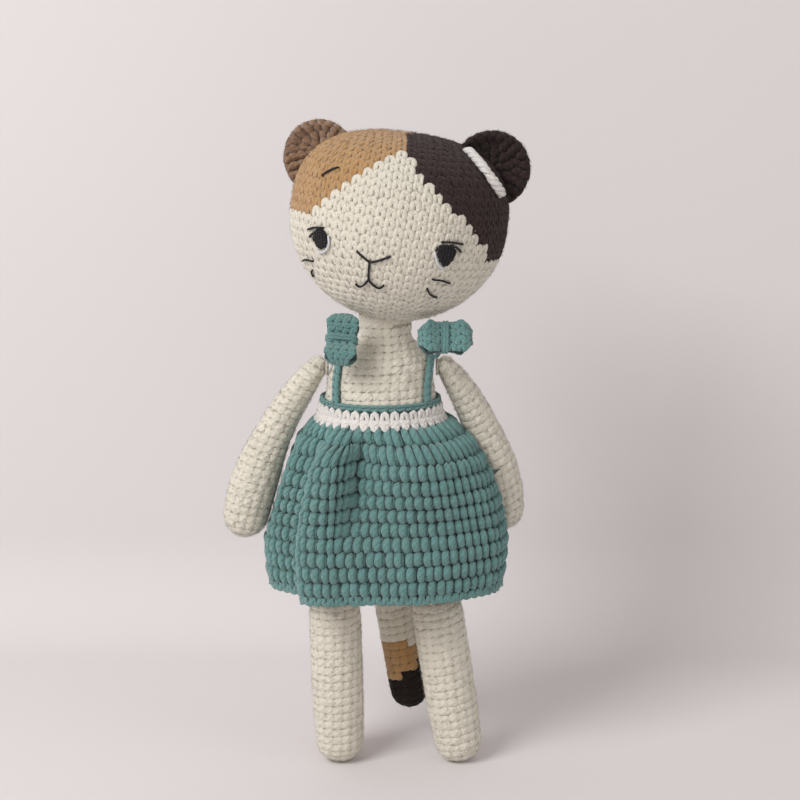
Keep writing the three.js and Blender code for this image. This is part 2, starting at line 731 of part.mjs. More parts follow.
// Straps: flat cords from the dress's front edge, over the shoulder, to its back edge
function strapFrame(side, share) {
  const top = DRESS_TOP + FIT;
  const { out, crest } = STRAPS[side < 0 ? "right" : "left"];
  const swing = Math.PI * (share - 0.5);
  const height = lerp(top, SHOULDER_HEIGHT + crest, Math.cos(swing) ** 0.8);
  const radius = Math.max(bodyRadius(height), out + 0.01);
  const depth = Math.sqrt(radius ** 2 - out ** 2) * Math.sign(swing || 1);
  const slope = (bodyRadius(height + 1) - bodyRadius(height - 1)) / 2;
  const normal = vec(side * out, depth, -slope * radius).normalize();
  const place = vec(side * out + sway(height), depth * BODY_DEPTH, height);
  return { place: place.addScaledVector(normal, STRAP_THICK / 2 + FIT), normal };
}

function strap(side) {
  const steps = 18;
  const frames = [];
  for (let i = 0; i <= steps; i += 1) frames.push(strapFrame(side, i / steps));
  const cord = new THREE.CylinderGeometry(1, 1, 1, 8, steps).rotateX(Math.PI / 2);
  return shaped(cord, (p) => {
    const i = Math.round((p.z + 0.5) * steps);
    const { place, normal } = frames[i];
    const next = frames[Math.min(i + 1, steps)].place;
    const last = frames[Math.max(i - 1, 0)].place;
    const along = next.clone().sub(last).normalize();
    const out = normal.clone().addScaledVector(along, -normal.dot(along)).normalize();
    const across = along.clone().cross(out);
    const [x, y] = [(p.x * STRAP_WIDE) / 2, (p.y * STRAP_THICK) / 2];
    p.copy(place).addScaledVector(across, x).addScaledVector(out, y);
  });
}

// A bow: a strip folded into two loops on a flat waist, drawn in beside its knot
function bowEnd(end, half, start, neck) {
  const middle = lerp(start, end, 0.68);
  const outline = new THREE.SplineCurve([
    flat(start, -neck),
    flat(lerp(start, end, 0.3), -lerp(neck, half, 0.7)),
    flat(middle, -half),
    flat(end, 0),
    flat(middle, half),
    flat(lerp(start, end, 0.3), lerp(neck, half, 0.7)),
    flat(start, neck),
  ]);
  return outline.getPoints(12);
}

function bowLoops() {
  const waist = KNOT_LONG / 2 + FIT;
  const pinched = BOW_WIDE * BOW_PINCH;
  const loop = new THREE.Shape(bowEnd(BOW_LONG / 2, BOW_LOOP / 2, waist, BOW_WAIST));
  const hollow = [BOW_LONG / 2 - STRAP_THICK, BOW_LOOP / 2 - STRAP_THICK];
  loop.holes.push(new THREE.Path(bowEnd(...hollow, waist + STRAP_THICK, 0.2)));
  const strip = new THREE.ExtrudeGeometry(loop, { depth: BOW_WIDE, steps: 4, bevelEnabled: false });
  shaped(strip.translate(0, 0, -BOW_WIDE / 2), (p) => {
    p.z *= lerp(BOW_PINCH, 1, smoothstep(p.x, waist, BOW_LONG * 0.4));
  });
  const middle = new THREE.BoxGeometry(2 * waist + FIT, 2 * BOW_WAIST, pinched);
  return join(strip, strip.clone().rotateZ(Math.PI), middle);
}

// The knot is a short wrap of the same cord round the waist of the bow, and the cord's end
// runs back from it to the strap
function bowKnot(stand, seat) {
  const [wide, thick] = [(BOW_WIDE * BOW_PINCH) / 2 + FIT, BOW_WAIST + FIT];
  const [halfWide, halfThick] = [wide + KNOT_WALL, thick + KNOT_WALL];
  const wrap = new THREE.BoxGeometry(KNOT_LONG, 2 * halfThick, 2 * halfWide, 2, 4, 4);
  shaped(wrap, (p) => {
    const corner = (Math.abs(p.y) / halfThick) ** 4 * (Math.abs(p.z) / halfWide) ** 4;
    const plump = (1 - 0.18 * corner) * (p.x === 0 ? 1 : 0.86);
    p.set(p.x, p.y * plump, p.z * plump);
  });
  const waist = new THREE.BoxGeometry(2 * KNOT_LONG, 2 * thick, 2 * wide);
  const back = vec(0, 1, 0).transformDirection(stand.matrix);
  const start = stand.position.clone().addScaledVector(back, thick);
  const end = seat.place.clone().addScaledVector(seat.normal, STRAP_THICK / 2 + FIT);
  const line = [start, start.clone().addScaledVector(back, 3), end.clone().addScaledVector(seat.normal, 3), end];
  const tie = yarn(line, TIE_THICK, 9, 8);
  return cut(join(wrap.applyMatrix4(stand.matrix), tie), waist.applyMatrix4(stand.matrix));
}

// Each bow leans out from the top of its strap: the right one on end, the left one level
const BOWS = [
  { name: "right", side: -1, place: [-20.6, -28, 223.8], lean: -30, roll: 0, turn: 86 },
  { name: "left", side: 1, place: [28.4, -26.5, 224.6], lean: -20, roll: 8, turn: -1 },
];

for (const { name, side, place, lean, roll, turn } of BOWS) {
  add(cat, `strap_${name}`, strap(side), TEAL);
  const stand = new THREE.Group();
  stand.position.set(...place);
  stand.rotation.set(degToRad(lean), degToRad(-turn), degToRad(roll), "ZXY");
  stand.updateMatrix();
  cat.add(stand);
  add(stand, `bow_${name}`, bowLoops(), TEAL);
  add(cat, `bow_knot_${name}`, bowKnot(stand, strapFrame(side, BOW_SEAT)), TEAL);
}

// The origin is the middle of the cat's outline on the floor
cat.updateMatrixWorld(true);
const outline = new THREE.Box3().setFromObject(cat, true);
const middle = outline.getCenter(vec());
cat.position.set(-middle.x, -middle.y, 0);

export default cat;
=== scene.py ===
import json
import math

import bmesh
import bpy
import numpy as np
from mathutils import Matrix, Vector


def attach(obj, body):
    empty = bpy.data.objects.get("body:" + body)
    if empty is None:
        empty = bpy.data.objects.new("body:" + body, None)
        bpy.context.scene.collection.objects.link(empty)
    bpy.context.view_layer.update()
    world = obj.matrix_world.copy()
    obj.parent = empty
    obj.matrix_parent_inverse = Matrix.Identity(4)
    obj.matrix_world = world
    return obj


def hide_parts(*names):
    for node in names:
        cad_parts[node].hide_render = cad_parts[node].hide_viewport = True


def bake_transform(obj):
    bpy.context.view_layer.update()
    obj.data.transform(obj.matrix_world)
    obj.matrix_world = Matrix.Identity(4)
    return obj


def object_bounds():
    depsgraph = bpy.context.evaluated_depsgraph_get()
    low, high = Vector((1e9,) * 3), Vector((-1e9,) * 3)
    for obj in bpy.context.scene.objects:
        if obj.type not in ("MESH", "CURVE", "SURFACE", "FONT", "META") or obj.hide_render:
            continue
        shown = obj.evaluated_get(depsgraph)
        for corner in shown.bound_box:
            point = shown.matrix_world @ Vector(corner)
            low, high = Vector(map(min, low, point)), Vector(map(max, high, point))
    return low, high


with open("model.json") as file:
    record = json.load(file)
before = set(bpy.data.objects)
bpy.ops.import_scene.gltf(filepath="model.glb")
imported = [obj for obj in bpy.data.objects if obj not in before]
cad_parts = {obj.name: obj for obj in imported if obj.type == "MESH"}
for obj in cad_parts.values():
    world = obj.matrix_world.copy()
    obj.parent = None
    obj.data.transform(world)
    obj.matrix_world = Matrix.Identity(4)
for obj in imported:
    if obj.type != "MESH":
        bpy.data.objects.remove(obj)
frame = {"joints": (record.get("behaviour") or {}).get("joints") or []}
cad_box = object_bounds()
scene = bpy.context.scene
scene.view_settings.view_transform = "Standard"
MM = 0.001


# Camera: a hand-held one, well away from the cat, a little over its head and looking down. It
# stands to the cat's left, where the photograph was taken.
SENSOR_WIDE = 36
LENS = 74.25
CAMERA_FROM_AXIS = 7.0
CAMERA_AWAY = 800
CAMERA_HEIGHT = 348
LOOKS_DOWN = 11.24

joint_at = {joint["name"]: Vector(joint["pos_m"]) / MM for joint in frame["joints"]}
neck = joint_at["neck_tilt"]
camera = bpy.data.objects.new("camera", bpy.data.cameras.new("camera"))
camera.data.sensor_width = SENSOR_WIDE
camera.data.lens = LENS
camera.location = Vector((neck.x + CAMERA_FROM_AXIS, -CAMERA_AWAY, CAMERA_HEIGHT)) * MM
camera.rotation_euler = (math.radians(90 - LOOKS_DOWN), 0, 0)
scene.collection.objects.link(camera)
scene.camera = camera


# Light and floor: a wide window light from the upper left, a weak one from the right, and a
# plain pale sheet that runs up behind the cat and can be looked through from its back
LAMPS = (  # name, place, size and strength
    ("window_light", (-1000, -1050, 1250), 800, 21.0),
    ("side_light", (1300, -700, 700), 900, 2.0),
)
LIT_HEIGHT = 150
SKY_ON_CAT = 0.46
SKY_SEEN = 0.7
BACKDROP_BEHIND = 150
BACKDROP_BEND = 60
BACKDROP_BEND_STEPS = 8
BACKDROP_HIGH = 2500
FLOOR_HALF = 3000


def paint(red, green, blue):
    """A colour as it is seen on a screen, from 0 to 255, for a shader's socket."""
    linear = [((c / 255 + 0.055) / 1.055) ** 2.4 if c > 10 else c / 3294.6 for c in (red, green, blue)]
    return (*linear, 1.0)


for name, place, size, watts in LAMPS:
    lamp = bpy.data.lights.new(name, "AREA")
    lamp.size = size * MM
    lamp.energy = watts
    stand = bpy.data.objects.new(name, lamp)
    stand.location = Vector(place) * MM
    aim = Vector((neck.x, 0, LIT_HEIGHT)) - Vector(place)
    stand.rotation_euler = aim.to_track_quat("-Z", "Y").to_euler()
    stand.visible_camera = False
    scene.collection.objects.link(stand)

world = bpy.data.worlds.new("room")
world.use_nodes = True
sky = world.node_tree.nodes["Background"]
sky.inputs["Color"].default_value = (1.0, 0.97, 0.95, 1)
seen = world.node_tree.nodes.new("ShaderNodeMapRange")
seen.inputs["To Min"].default_value = SKY_ON_CAT
seen.inputs["To Max"].default_value = SKY_SEEN
rays = world.node_tree.nodes.new("ShaderNodeLightPath")
world.node_tree.links.new(rays.outputs["Is Camera Ray"], seen.inputs["Value"])
world.node_tree.links.new(seen.outputs["Result"], sky.inputs["Strength"])
scene.world = world

bm = bmesh.new()
edge = [bmesh.ops.create_vert(bm, co=(-FLOOR_HALF, -FLOOR_HALF, 0))["vert"][0]]
for turn in range(BACKDROP_BEND_STEPS + 1):
    angle = math.radians(turn * 90 / BACKDROP_BEND_STEPS)
    back = BACKDROP_BEHIND + BACKDROP_BEND * math.sin(angle)
    rise = BACKDROP_BEND * (1 - math.cos(angle))
    edge += bmesh.ops.create_vert(bm, co=(-FLOOR_HALF, back, rise))["vert"]
top = (-FLOOR_HALF, BACKDROP_BEHIND + BACKDROP_BEND, BACKDROP_HIGH)
edge += bmesh.ops.create_vert(bm, co=top)["vert"]
lines = [bm.edges.new(pair) for pair in zip(edge, edge[1:])]
swept = bmesh.ops.extrude_edge_only(bm, edges=lines)["geom"]
far = [v for v in swept if isinstance(v, bmesh.types.BMVert)]
bmesh.ops.translate(bm, verts=far, vec=(2 * FLOOR_HALF, 0, 0))
bmesh.ops.scale(bm, vec=(MM, MM, MM), verts=bm.verts)
bm.normal_update()
for face in bm.faces:
    face.smooth = True
    if face.normal.z - face.normal.y < 0:
        face.normal_flip()
sheet_mesh = bpy.data.meshes.new("floor")
bm.to_mesh(sheet_mesh)
bm.free()
floor = bpy.data.objects.new("floor", sheet_mesh)
scene.collection.objects.link(floor)
pale = bpy.data.materials.new("pale_sheet")
pale.use_nodes = True
matt = pale.node_tree.nodes["Principled BSDF"]
matt.inputs["Base Color"].default_value = paint(224, 219, 219)
matt.inputs["Roughness"].default_value = 0.9
side_seen = pale.node_tree.nodes.new("ShaderNodeNewGeometry")
nothing = pale.node_tree.nodes.new("ShaderNodeBsdfTransparent")
either = pale.node_tree.nodes.new("ShaderNodeMixShader")
for output, socket in (
    (side_seen.outputs["Backfacing"], either.inputs[0]),
    (matt.outputs[0], either.inputs[1]),
    (nothing.outputs[0], either.inputs[2]),
    (either.outputs[0], pale.node_tree.nodes["Material Output"].inputs["Surface"]),
):
    pale.node_tree.links.new(output, socket)
floor.data.materials.append(pale)


# Head: a ball of ivory yarn worked in rounds from the crown down, so that each stitch is an
# arch with its two legs over the round below. Patches of ochre and dark brown yarn are
# worked into the rounds, and the ball is stuffed hard with fibre.
HEAD_RADIUS = 52.8
CHIN_TO_CHEEKS = 50
CHEEKS_TO_CROWN = 41
CROWN_POWER = 2.6
HEAD_TILT = 7.5
HEAD_TURN = -10
STITCH_WIDE = 4.85
STITCH_HIGH = 4.4
SKIN_DEPTH = 0.6
TURN = 2 * math.pi

# The lower edges of the two patches: azimuth from the face towards the cat's left, and
# height over the neck
OCHRE_EDGE = [
    (-180, 50), (-140, 48), (-100, 46), (-75, 47.5), (-56, 48.1), (-47.2, 49.7), (-40, 50.6),
    (-35.1, 56.2), (-28.1, 61.9), (-21.5, 67.9), (-15.5, 72.2), (-9, 76.2), (-1.5, 79.7), (4, 83.3),
]
DARK_EDGE = [
    (5.7, 82.6), (12.1, 80.2), (17.2, 77.2), (21.2, 73.2), (26.3, 68.9), (30.2, 65.8), (35.1, 59),
    (44.7, 58.8), (50.8, 52.2), (55.3, 46.3), (61.7, 46.2), (65.2, 39.9), (74.3, 38.7), (85.5, 36),
    (110, 37), (140, 43), (180, 50),
]
# Where the two patches meet: height, and azimuth
PARTING = [(80, 7), (82.8, 8), (83.4, 12), (86, 11.5), (87, 7), (91, 3)]


class Wire:
    """A shader socket that sums, multiplies and compares as a number does."""

    def __init__(self, shop, socket):
        self.shop, self.socket = shop, socket

    def maths(self, operation, *values):
        node = self.shop.node("ShaderNodeMath", {"operation": operation}, dict(enumerate(values)))
        return node["Value"]

    def __add__(self, other):
        return self.maths("ADD", self, other)

    def __sub__(self, other):
        return self.maths("SUBTRACT", self, other)

    def __rsub__(self, other):
        return self.maths("SUBTRACT", other, self)

    def __mul__(self, other):
        return self.maths("MULTIPLY", self, other)

    __radd__ = __add__
    __rmul__ = __mul__

    def sine(self):
        return self.maths("SINE", self)

    def at_least(self, low):
        return self.maths("MAXIMUM", self, low)


class Shop:
    """Makes the nodes of one material."""

    def __init__(self, name):
        self.material = bpy.data.materials.new(name)
        self.material.use_nodes = True
        self.tree = self.material.node_tree
        self.surface = self.tree.nodes["Principled BSDF"]

    def node(self, kind, settings, values):
        made = self.tree.nodes.new(kind)
        for key, value in settings.items():
            setattr(made, key, value)
        self.feed(made, values)
        return {s.name: Wire(self, s) for s in reversed(made.outputs) if s.enabled}

    def feed(self, node, values):
        for key, value in values.items():
            socket = node.inputs[key]
            if isinstance(value, Wire):
                self.tree.links.new(value.socket, socket)
            else:
                socket.default_value = value

    def mixed(self, share, one, other):
        node = self.tree.nodes.new("ShaderNodeMix")
        node.data_type = "RGBA"
        self.feed(node, {0: share, 6: one, 7: other})
        return Wire(self, node.outputs[2])


# Noise in the yarn: its fibres, the tufts that stand out and the dye, which varies slowly
FIBRE_NOISE = {"Scale": 2600, "Detail": 3, "Roughness": 0.7}
TUFT_NOISE = {"Scale": 1150, "Detail": 3, "Roughness": 0.6}
DYE_NOISE = {"Scale": 55, "Detail": 2}


def yarn_finish(name, colour, plies=4, twist=2.6, shade=0.72, fuzz=0.35):
    """Matt twisted yarn: its plies wind round each strand, its fibres fray, its dye varies. shade is how
    dark it goes at random with fibres, tufts and dye, and as painted shade in its ply grooves; fuzz is how
    much light its loose fibres catch."""
    shop = Shop(name)
    lay = shop.node("ShaderNodeAttribute", {"attribute_name": "lay"}, {})["Vector"]
    parts = shop.node("ShaderNodeSeparateXYZ", {}, {"Vector": lay})
    around = parts["X"].maths("ARCTAN2", parts["Y"], parts["X"])
    ply = (around * plies + parts["Z"] * (TURN / twist)).sine()
    place = shop.node("ShaderNodeTexCoord", {}, {})["Object"]
    fibre, tuft, dye = (
        shop.node("ShaderNodeTexNoise", {}, {"Vector": place, **noise})["Fac"]
        for noise in (FIBRE_NOISE, TUFT_NOISE, DYE_NOISE)
    )
    dark = tuple(c * shade for c in colour[:3]) + (1,)
    light = tuple(min(c * 1.1 + 0.004, 1) for c in colour[:3]) + (1,)
    # Mostly random tone of fibres, tufts and dye, with painted shade in the grooves between the plies
    speckle_and_ply_shade = (ply * 0.12 + fibre * 0.5 + tuft * 1.5 + dye * 0.6 - 0.65).at_least(0.0)
    tone = shop.mixed(speckle_and_ply_shade, dark, light)
    grain = ply * 0.3 + fibre * 0.8 + tuft * 1.1
    bump = shop.node("ShaderNodeBump", {}, {"Strength": 0.7, "Distance": 0.0006, "Height": grain})
    shop.feed(shop.surface, {
        "Base Color": tone, "Roughness": fibre * 0.1 + 0.88, "Normal": bump["Normal"],
        "Sheen Weight": fuzz, "Sheen Roughness": 0.6, "Specular IOR Level": 0.15,
    })
    return shop.material


ivory_yarn = yarn_finish("ivory_yarn", paint(225, 218, 202), shade=0.92)
ochre_yarn = yarn_finish("ochre_yarn", paint(183, 140, 87), shade=0.78)
dark_yarn = yarn_finish("dark_yarn", paint(57, 41, 40), fuzz=0.08)
# Each yarn's colour darkened and given to the ground under its stitches: painted shade for the gaps and
# pinholes between them
ivory_hollow_shade = yarn_finish("ivory_yarn_painted_hollow_shade", paint(192, 182, 162))
ochre_hollow_shade = yarn_finish("ochre_yarn_painted_hollow_shade", paint(128, 92, 56))
dark_hollow_shade = yarn_finish("dark_yarn_painted_hollow_shade", paint(34, 26, 26))


def smooth_line(points, count):
    """Places on a smooth line through points, evenly by their numbers."""
    known = np.array(points, float)
    padded = np.vstack([known[0], known, known[-1]])
    found = []
    for share in np.linspace(0, len(known) - 1, count):
        i = min(int(share), len(known) - 2)
        t = share - i
        a, b, c, d = padded[i : i + 4]
        bend, twist = 2 * a - 5 * b + 4 * c - d, 3 * b - a - 3 * c + d
        found.append(0.5 * (2 * b + (c - a) * t + bend * t * t + twist * t**3))
    return np.array(found)


def strand(bm, line, girth, sides=6):
    """Draws a length of yarn through a line; girth is its radius, one number or one a point."""
    line = [Vector(p) for p in line]
    girth = [girth] * len(line) if isinstance(girth, (int, float)) else list(girth)
    lay = bm.verts.layers.float_vector.get("lay") or bm.verts.layers.float_vector.new("lay")
    rod = bmesh.ops.create_circle(bm, segments=sides, radius=1)["verts"]
    rods = [rod]
    heading = Vector((0, 0, 1))
    for i in range(len(line)):
        ahead = (line[min(i + 1, len(line) - 1)] - line[max(i - 1, 0)]).normalized()
        if i == 0:
            turn = heading.rotation_difference(ahead).to_matrix()
            bmesh.ops.rotate(bm, verts=rod, cent=(0, 0, 0), matrix=turn)
            bmesh.ops.scale(bm, verts=rod, vec=(girth[0],) * 3)
            bmesh.ops.translate(bm, verts=rod, vec=line[0])
        else:
            ring = rods[-1]
            loop = [bm.edges.get((ring[k], ring[(k + 1) % sides])) for k in range(sides)]
            made = bmesh.ops.extrude_edge_only(bm, edges=loop)["geom"]
            fresh = [v for v in made if isinstance(v, bmesh.types.BMVert)]
            rod = [next(f for f in fresh if (f.co - v.co).length < 1e-9) for v in ring]
            turn = heading.rotation_difference(ahead).to_matrix()
            bmesh.ops.rotate(bm, verts=rod, cent=line[i - 1], matrix=turn)
            bmesh.ops.scale(
                bm, verts=rod, vec=(girth[i] / girth[i - 1],) * 3, space=Matrix.Translation(-line[i - 1])
            )
            bmesh.ops.translate(bm, verts=rod, vec=line[i] - line[i - 1])
            rods.append(rod)
        heading = ahead
    travelled = 0.0
    for i, ring in enumerate(rods):
        travelled += (line[i] - line[i - 1]).length if i else 0.0
        for k, v in enumerate(ring):
            angle = TURN * k / sides
            v[lay] = (math.cos(angle), math.sin(angle), travelled)
    for ring in (rods[0], rods[-1]):
        bmesh.ops.contextual_create(bm, geom=ring)


def finished(bm, name, materials):
    """Makes a piece of a bmesh drawn in millimetres."""
    bmesh.ops.recalc_face_normals(bm, faces=bm.faces)
    bmesh.ops.scale(bm, vec=(MM, MM, MM), verts=bm.verts)
    for face in bm.faces:
        face.smooth = True
    mesh = bpy.data.meshes.new(name)
    bm.to_mesh(mesh)
    bm.free()
    for material in materials:
        mesh.materials.append(material)
    piece = bpy.data.objects.new(name, mesh)
    scene.collection.objects.link(piece)
    return piece


def stands_for(piece, node, body):
    """Puts a piece on its body in the place of its node, and hides the node's part."""
    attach(piece, body)
    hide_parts(node)


def drawn(name, strands, wide, high, flat=1.0, sides=6):
    """A stitch from its strands, each a line in shares of its width and height with a girth,
    which is one number or one a point; flat is how thick the squeezed yarn stays."""
    bm = bmesh.new()
    for line, girth in strands:
        strand(bm, [(u * wide, v * high, w) for u, v, w in line], girth, sides)
    bmesh.ops.scale(bm, vec=(1 / wide, 1 / high, flat), verts=bm.verts)
    bmesh.ops.recalc_face_normals(bm, faces=bm.faces)
    mesh = bpy.data.meshes.new(name)
    bm.to_mesh(mesh)
    bm.free()
    return mesh


# A single crochet seen upside down: a soft arch whose two legs go into the round below
half_arch = [
    (-0.34, -0.62, -2.4), (-0.325, -0.38, -1.85), (-0.3, -0.08, -1.5), (-0.25, 0.16, -1.45),
    (-0.1, 0.27, -1.6),
]
half_girth = [1.3, 1.5, 1.55, 1.55, 1.5]
single_crochet = drawn(
    "single_crochet",
    [(half_arch + [(-u, v, w) for u, v, w in half_arch[::-1]], half_girth + half_girth[::-1])],
    STITCH_WIDE, STITCH_HIGH, flat=0.32,
)


def run_along(line):
    """How far along a line each of its places lies."""
    steps = np.diff(line, axis=0)
    flat = steps.shape[1] == 2
    return np.r_[0, np.cumsum(np.hypot(*steps.T) if flat else np.linalg.norm(steps, axis=1))]


class Turned:
    """The face of a stuffed part: an outline of (radius, height) that runs upwards, turned
    about its axis and then carried to its place."""

    def __init__(self, outline, carry):
        points = np.array(outline, float)
        steps = np.hypot(*np.diff(points, axis=0).T)
        keep = np.r_[True, steps > 1e-6]
        self.points = points[keep]
        self.run = run_along(self.points)
        self.length = self.run[-1]
        slope = np.gradient(self.points, self.run, axis=0)
        self.out = np.stack([slope[:, 1], -slope[:, 0]], 1)
        self.carry = carry

    def radius(self, along):
        return np.interp(along, self.run, self.points[:, 0])

    def radius_at(self, height):
        return np.interp(height, self.points[:, 1], self.points[:, 0])

    def run_at(self, height):
        return np.interp(height, self.points[:, 1], self.run)

    def height(self, along):
        return np.interp(along, self.run, self.points[:, 1])

    def at(self, angle, along, lift=0.0):
        along = np.clip(along, 0, self.length)
        out_radius = np.interp(along, self.run, self.out[:, 0])
        out_height = np.interp(along, self.run, self.out[:, 1])
        radius = np.maximum(self.radius(along) + lift * out_radius, 0)
        height = self.height(along) + lift * out_height
        return self.carry(radius * np.sin(angle), -radius * np.cos(angle), height)


WELD = 1e-3


def laid_grid(form, across, along, depth, start=0.0, end=None):
    """A grid laid round a form, with the angle and the place along it of each point."""
    bm = bmesh.new()
    bmesh.ops.create_grid(bm, x_segments=across, y_segments=along, size=0.5)
    end = form.length if end is None else end
    flat = np.array([v.co for v in bm.verts])
    angle = (flat[:, 0] + 0.5) * TURN
    run = start + (flat[:, 1] + 0.5) * (end - start)
    for v, x, y, z in zip(bm.verts, *form.at(angle, run, -depth)):
        v.co = (x, y, z)
    return bm, angle, run


def wrapped(form, name, across, along, depth, materials, tone=None, **part):
    """The fabric under the stitches: a grid wrapped round a form, closed at its seam. Under a cover it
    takes a darkened yarn colour, painted shade for the gaps between the stitches.
    """
    bm, angle, run = laid_grid(form, across, along, depth, **part)
    if tone is not None:
        index = {v: i for i, v in enumerate(bm.verts)}
        for face in bm.faces:
            i = [index[v] for v in face.verts]
            face.material_index = int(tone(angle[i].mean(), run[i].mean()))
    bmesh.ops.remove_doubles(bm, verts=bm.verts, dist=WELD)
    rims = [e for e in bm.edges if e.is_boundary]
    if rims:
        bmesh.ops.holes_fill(bm, edges=rims)
    return finished(bm, name, materials)


def in_rows(*columns):
    """Places for stitches: angle, place along the outline, width as an angle, height, lift."""
    return np.stack(np.broadcast_arrays(*columns), 1)


UNEVEN = 0.03
END_GAP = 1.2


def rounds(form, start, end, wide, high, lean=0.06, seed=0):
    """The stitches of a spiral of rounds, a little uneven as handwork is."""
    chance = np.random.default_rng(seed)
    count = max(1, round((end - start) / high))
    tall = (end - start) / count
    found = []
    drift = 0.0
    for i in range(count):
        middle = start + (i + 0.5) * tall
        number = max(6, round(TURN * form.radius(middle) / wide))
        share = (np.arange(number) + 0.5) / number
        drift += lean * TURN / number
        angle = share * TURN + drift
        spiral = (share - 0.5) * tall if 0 < i < count - 1 else 0 * share
        found.append(in_rows(
            angle + chance.normal(0, 0.035, number) * TURN / number,
            middle + spiral + chance.normal(0, UNEVEN, number) * tall,
            TURN / number * chance.normal(1, UNEVEN, number),
            tall * chance.normal(1, UNEVEN, number),
            chance.normal(0, 3 * UNEVEN, number),
        ))
    return np.concatenate(found)


def worked(form, stitch, places, name, materials, tones=None):
    """Lays one stitch at each place on a form: an array repeats it and each copy is bent on
    to the form."""
    pattern = bpy.data.objects.new(name, stitch.copy())
    scene.collection.objects.link(pattern)
    repeat = pattern.modifiers.new("repeat", "ARRAY")
    repeat.use_relative_offset = False
    repeat.count = len(places)
    repeated = pattern.evaluated_get(bpy.context.evaluated_depsgraph_get())
    mesh = bpy.data.meshes.new_from_object(repeated)
    bpy.data.objects.remove(pattern)
    shape = np.zeros(len(stitch.vertices) * 3)
    stitch.vertices.foreach_get("co", shape)
    u, v, w = shape.reshape(-1, 3).T
    angle, along, wide, high, lift = (column[:, None] for column in places.T)
    laid = form.at(angle + u * wide, along + v * high, w + lift)
    co = np.stack([part.ravel() for part in laid], 1) * MM
    mesh.vertices.foreach_set("co", co.ravel())
    mesh.polygons.foreach_set("use_smooth", np.ones(len(mesh.polygons), bool))
    for material in materials:
        mesh.materials.append(material)
    if tones is not None:
        of_faces = np.repeat(tones, len(stitch.polygons)).astype(np.int32)
        mesh.polygons.foreach_set("material_index", of_faces)
    mesh.update()
    piece = bpy.data.objects.new(name, mesh)
    scene.collection.objects.link(piece)
    return piece


# A loose fibre of the yarn, which stands off the surface
fibre = drawn(
    "fibre", [([(0, 0, -0.6), (0.3, 0.35, 0.25), (1, 0.8, 0.65)], [0.08, 0.07, 0.03])], 1, 1, sides=3
)
FIBRE_LONG = (0.8, 2.0)


def frayed(form, name, body, count, materials, tone=None, seed=0):
    """Loose fibres all over a form, each to its own side."""
    chance = np.random.default_rng(seed)
    is_round = isinstance(form, Turned)
    run = np.interp(chance.random(3 * count), np.linspace(0, 1, 200), np.linspace(1, form.length - 1, 200))
    if is_round:
        run = run[chance.random(3 * count) < form.radius(run) / form.points[:, 0].max()]
    run = run[:count]
    angle = chance.random(len(run)) * TURN
    lean, long = chance.random(len(run)) * TURN, chance.uniform(*FIBRE_LONG, len(run))
    wide = long * np.cos(lean) / (np.maximum(form.radius(run), 2) if is_round else 50)
    places = in_rows(angle, run, wide, long * np.sin(lean), chance.normal(0, 0.12, len(run)))
    fuzz = worked(form, fibre, places, name, materials, tone and tone(angle, run))
    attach(fuzz, body)
    return fuzz


def joined(first, *others):
    """One piece of several."""
    pieces = [first, *others]
    with bpy.context.temp_override(active_object=first, object=first, selected_editable_objects=pieces):
        bpy.ops.object.join()
    return first


def head_outline(count):
    turn = np.linspace(0, math.pi / 2, count)
    below = np.stack([HEAD_RADIUS * np.sin(turn), CHIN_TO_CHEEKS * (1 - np.cos(turn))], 1)
    power = 2 / CROWN_POWER
    above = np.stack([
        HEAD_RADIUS * np.abs(np.cos(turn)) ** power,
        CHIN_TO_CHEEKS + CHEEKS_TO_CROWN * np.sin(turn) ** power,
    ], 1)
    above[-1, 0] = 0
    return np.vstack([below, above[1:]])


def turned(degrees, axis):
    return Matrix.Rotation(math.radians(degrees), 4, axis)


neck_stand = Matrix.Translation(neck) @ turned(HEAD_TILT, "Y")
head_stand = neck_stand @ turned(HEAD_TURN, "Z")


def carried(matrix):
    """A rule that puts points in their place by a matrix."""
    m = np.array(matrix)

    def carry(x, y, z):
        return tuple(m[i, 0] * x + m[i, 1] * y + m[i, 2] * z + m[i, 3] for i in range(3))

    return carry


head_form = Turned(head_outline(60), carried(head_stand))


def head_tone(angle, along):
    """0 ivory, 1 ochre, 2 dark, for a place on the head."""
    azimuth = (np.degrees(angle) + 180) % 360 - 180
    height = head_form.height(along)
    parting = np.interp(height, *np.array(PARTING).T)
    edge = np.where(
        azimuth < parting,
        np.interp(azimuth, *np.array(OCHRE_EDGE).T),
        np.interp(azimuth, *np.array(DARK_EDGE).T),
    )
    patch = np.where((azimuth < parting) & (azimuth > -176), 1, 2)
    return np.where(height > edge, patch, 0)


head_places = rounds(head_form, 3, head_form.length - 0.6, STITCH_WIDE, STITCH_HIGH, seed=1)
head_tones = head_tone(head_places[:, 0], head_places[:, 1] + 0.3)
head_yarns = [ivory_yarn, ochre_yarn, dark_yarn]
head_hollow_shades = [ivory_hollow_shade, ochre_hollow_shade, dark_hollow_shade]
head_cover = joined(
    worked(head_form, single_crochet, head_places, "head_cover_crochet", head_yarns, head_tones),
    wrapped(head_form, "head_ground", 72, 40, SKIN_DEPTH, head_hollow_shades, head_tone),
)
stands_for(head_cover, "head_cover", "head")
frayed(head_form, "head_fibres", "head", 6000, head_yarns, head_tone, seed=31)


# Filling: loose white polyester fibre, pushed in through each cover's open end before that is
# closed, so that it fills the cover and presses its stitches out
FILLING_DEPTH = 3.6
FILLING_TUFTS = 0.12

fibre_filling = yarn_finish("fibre_filling", paint(240, 238, 232), plies=0, shade=0.85, fuzz=0.6)


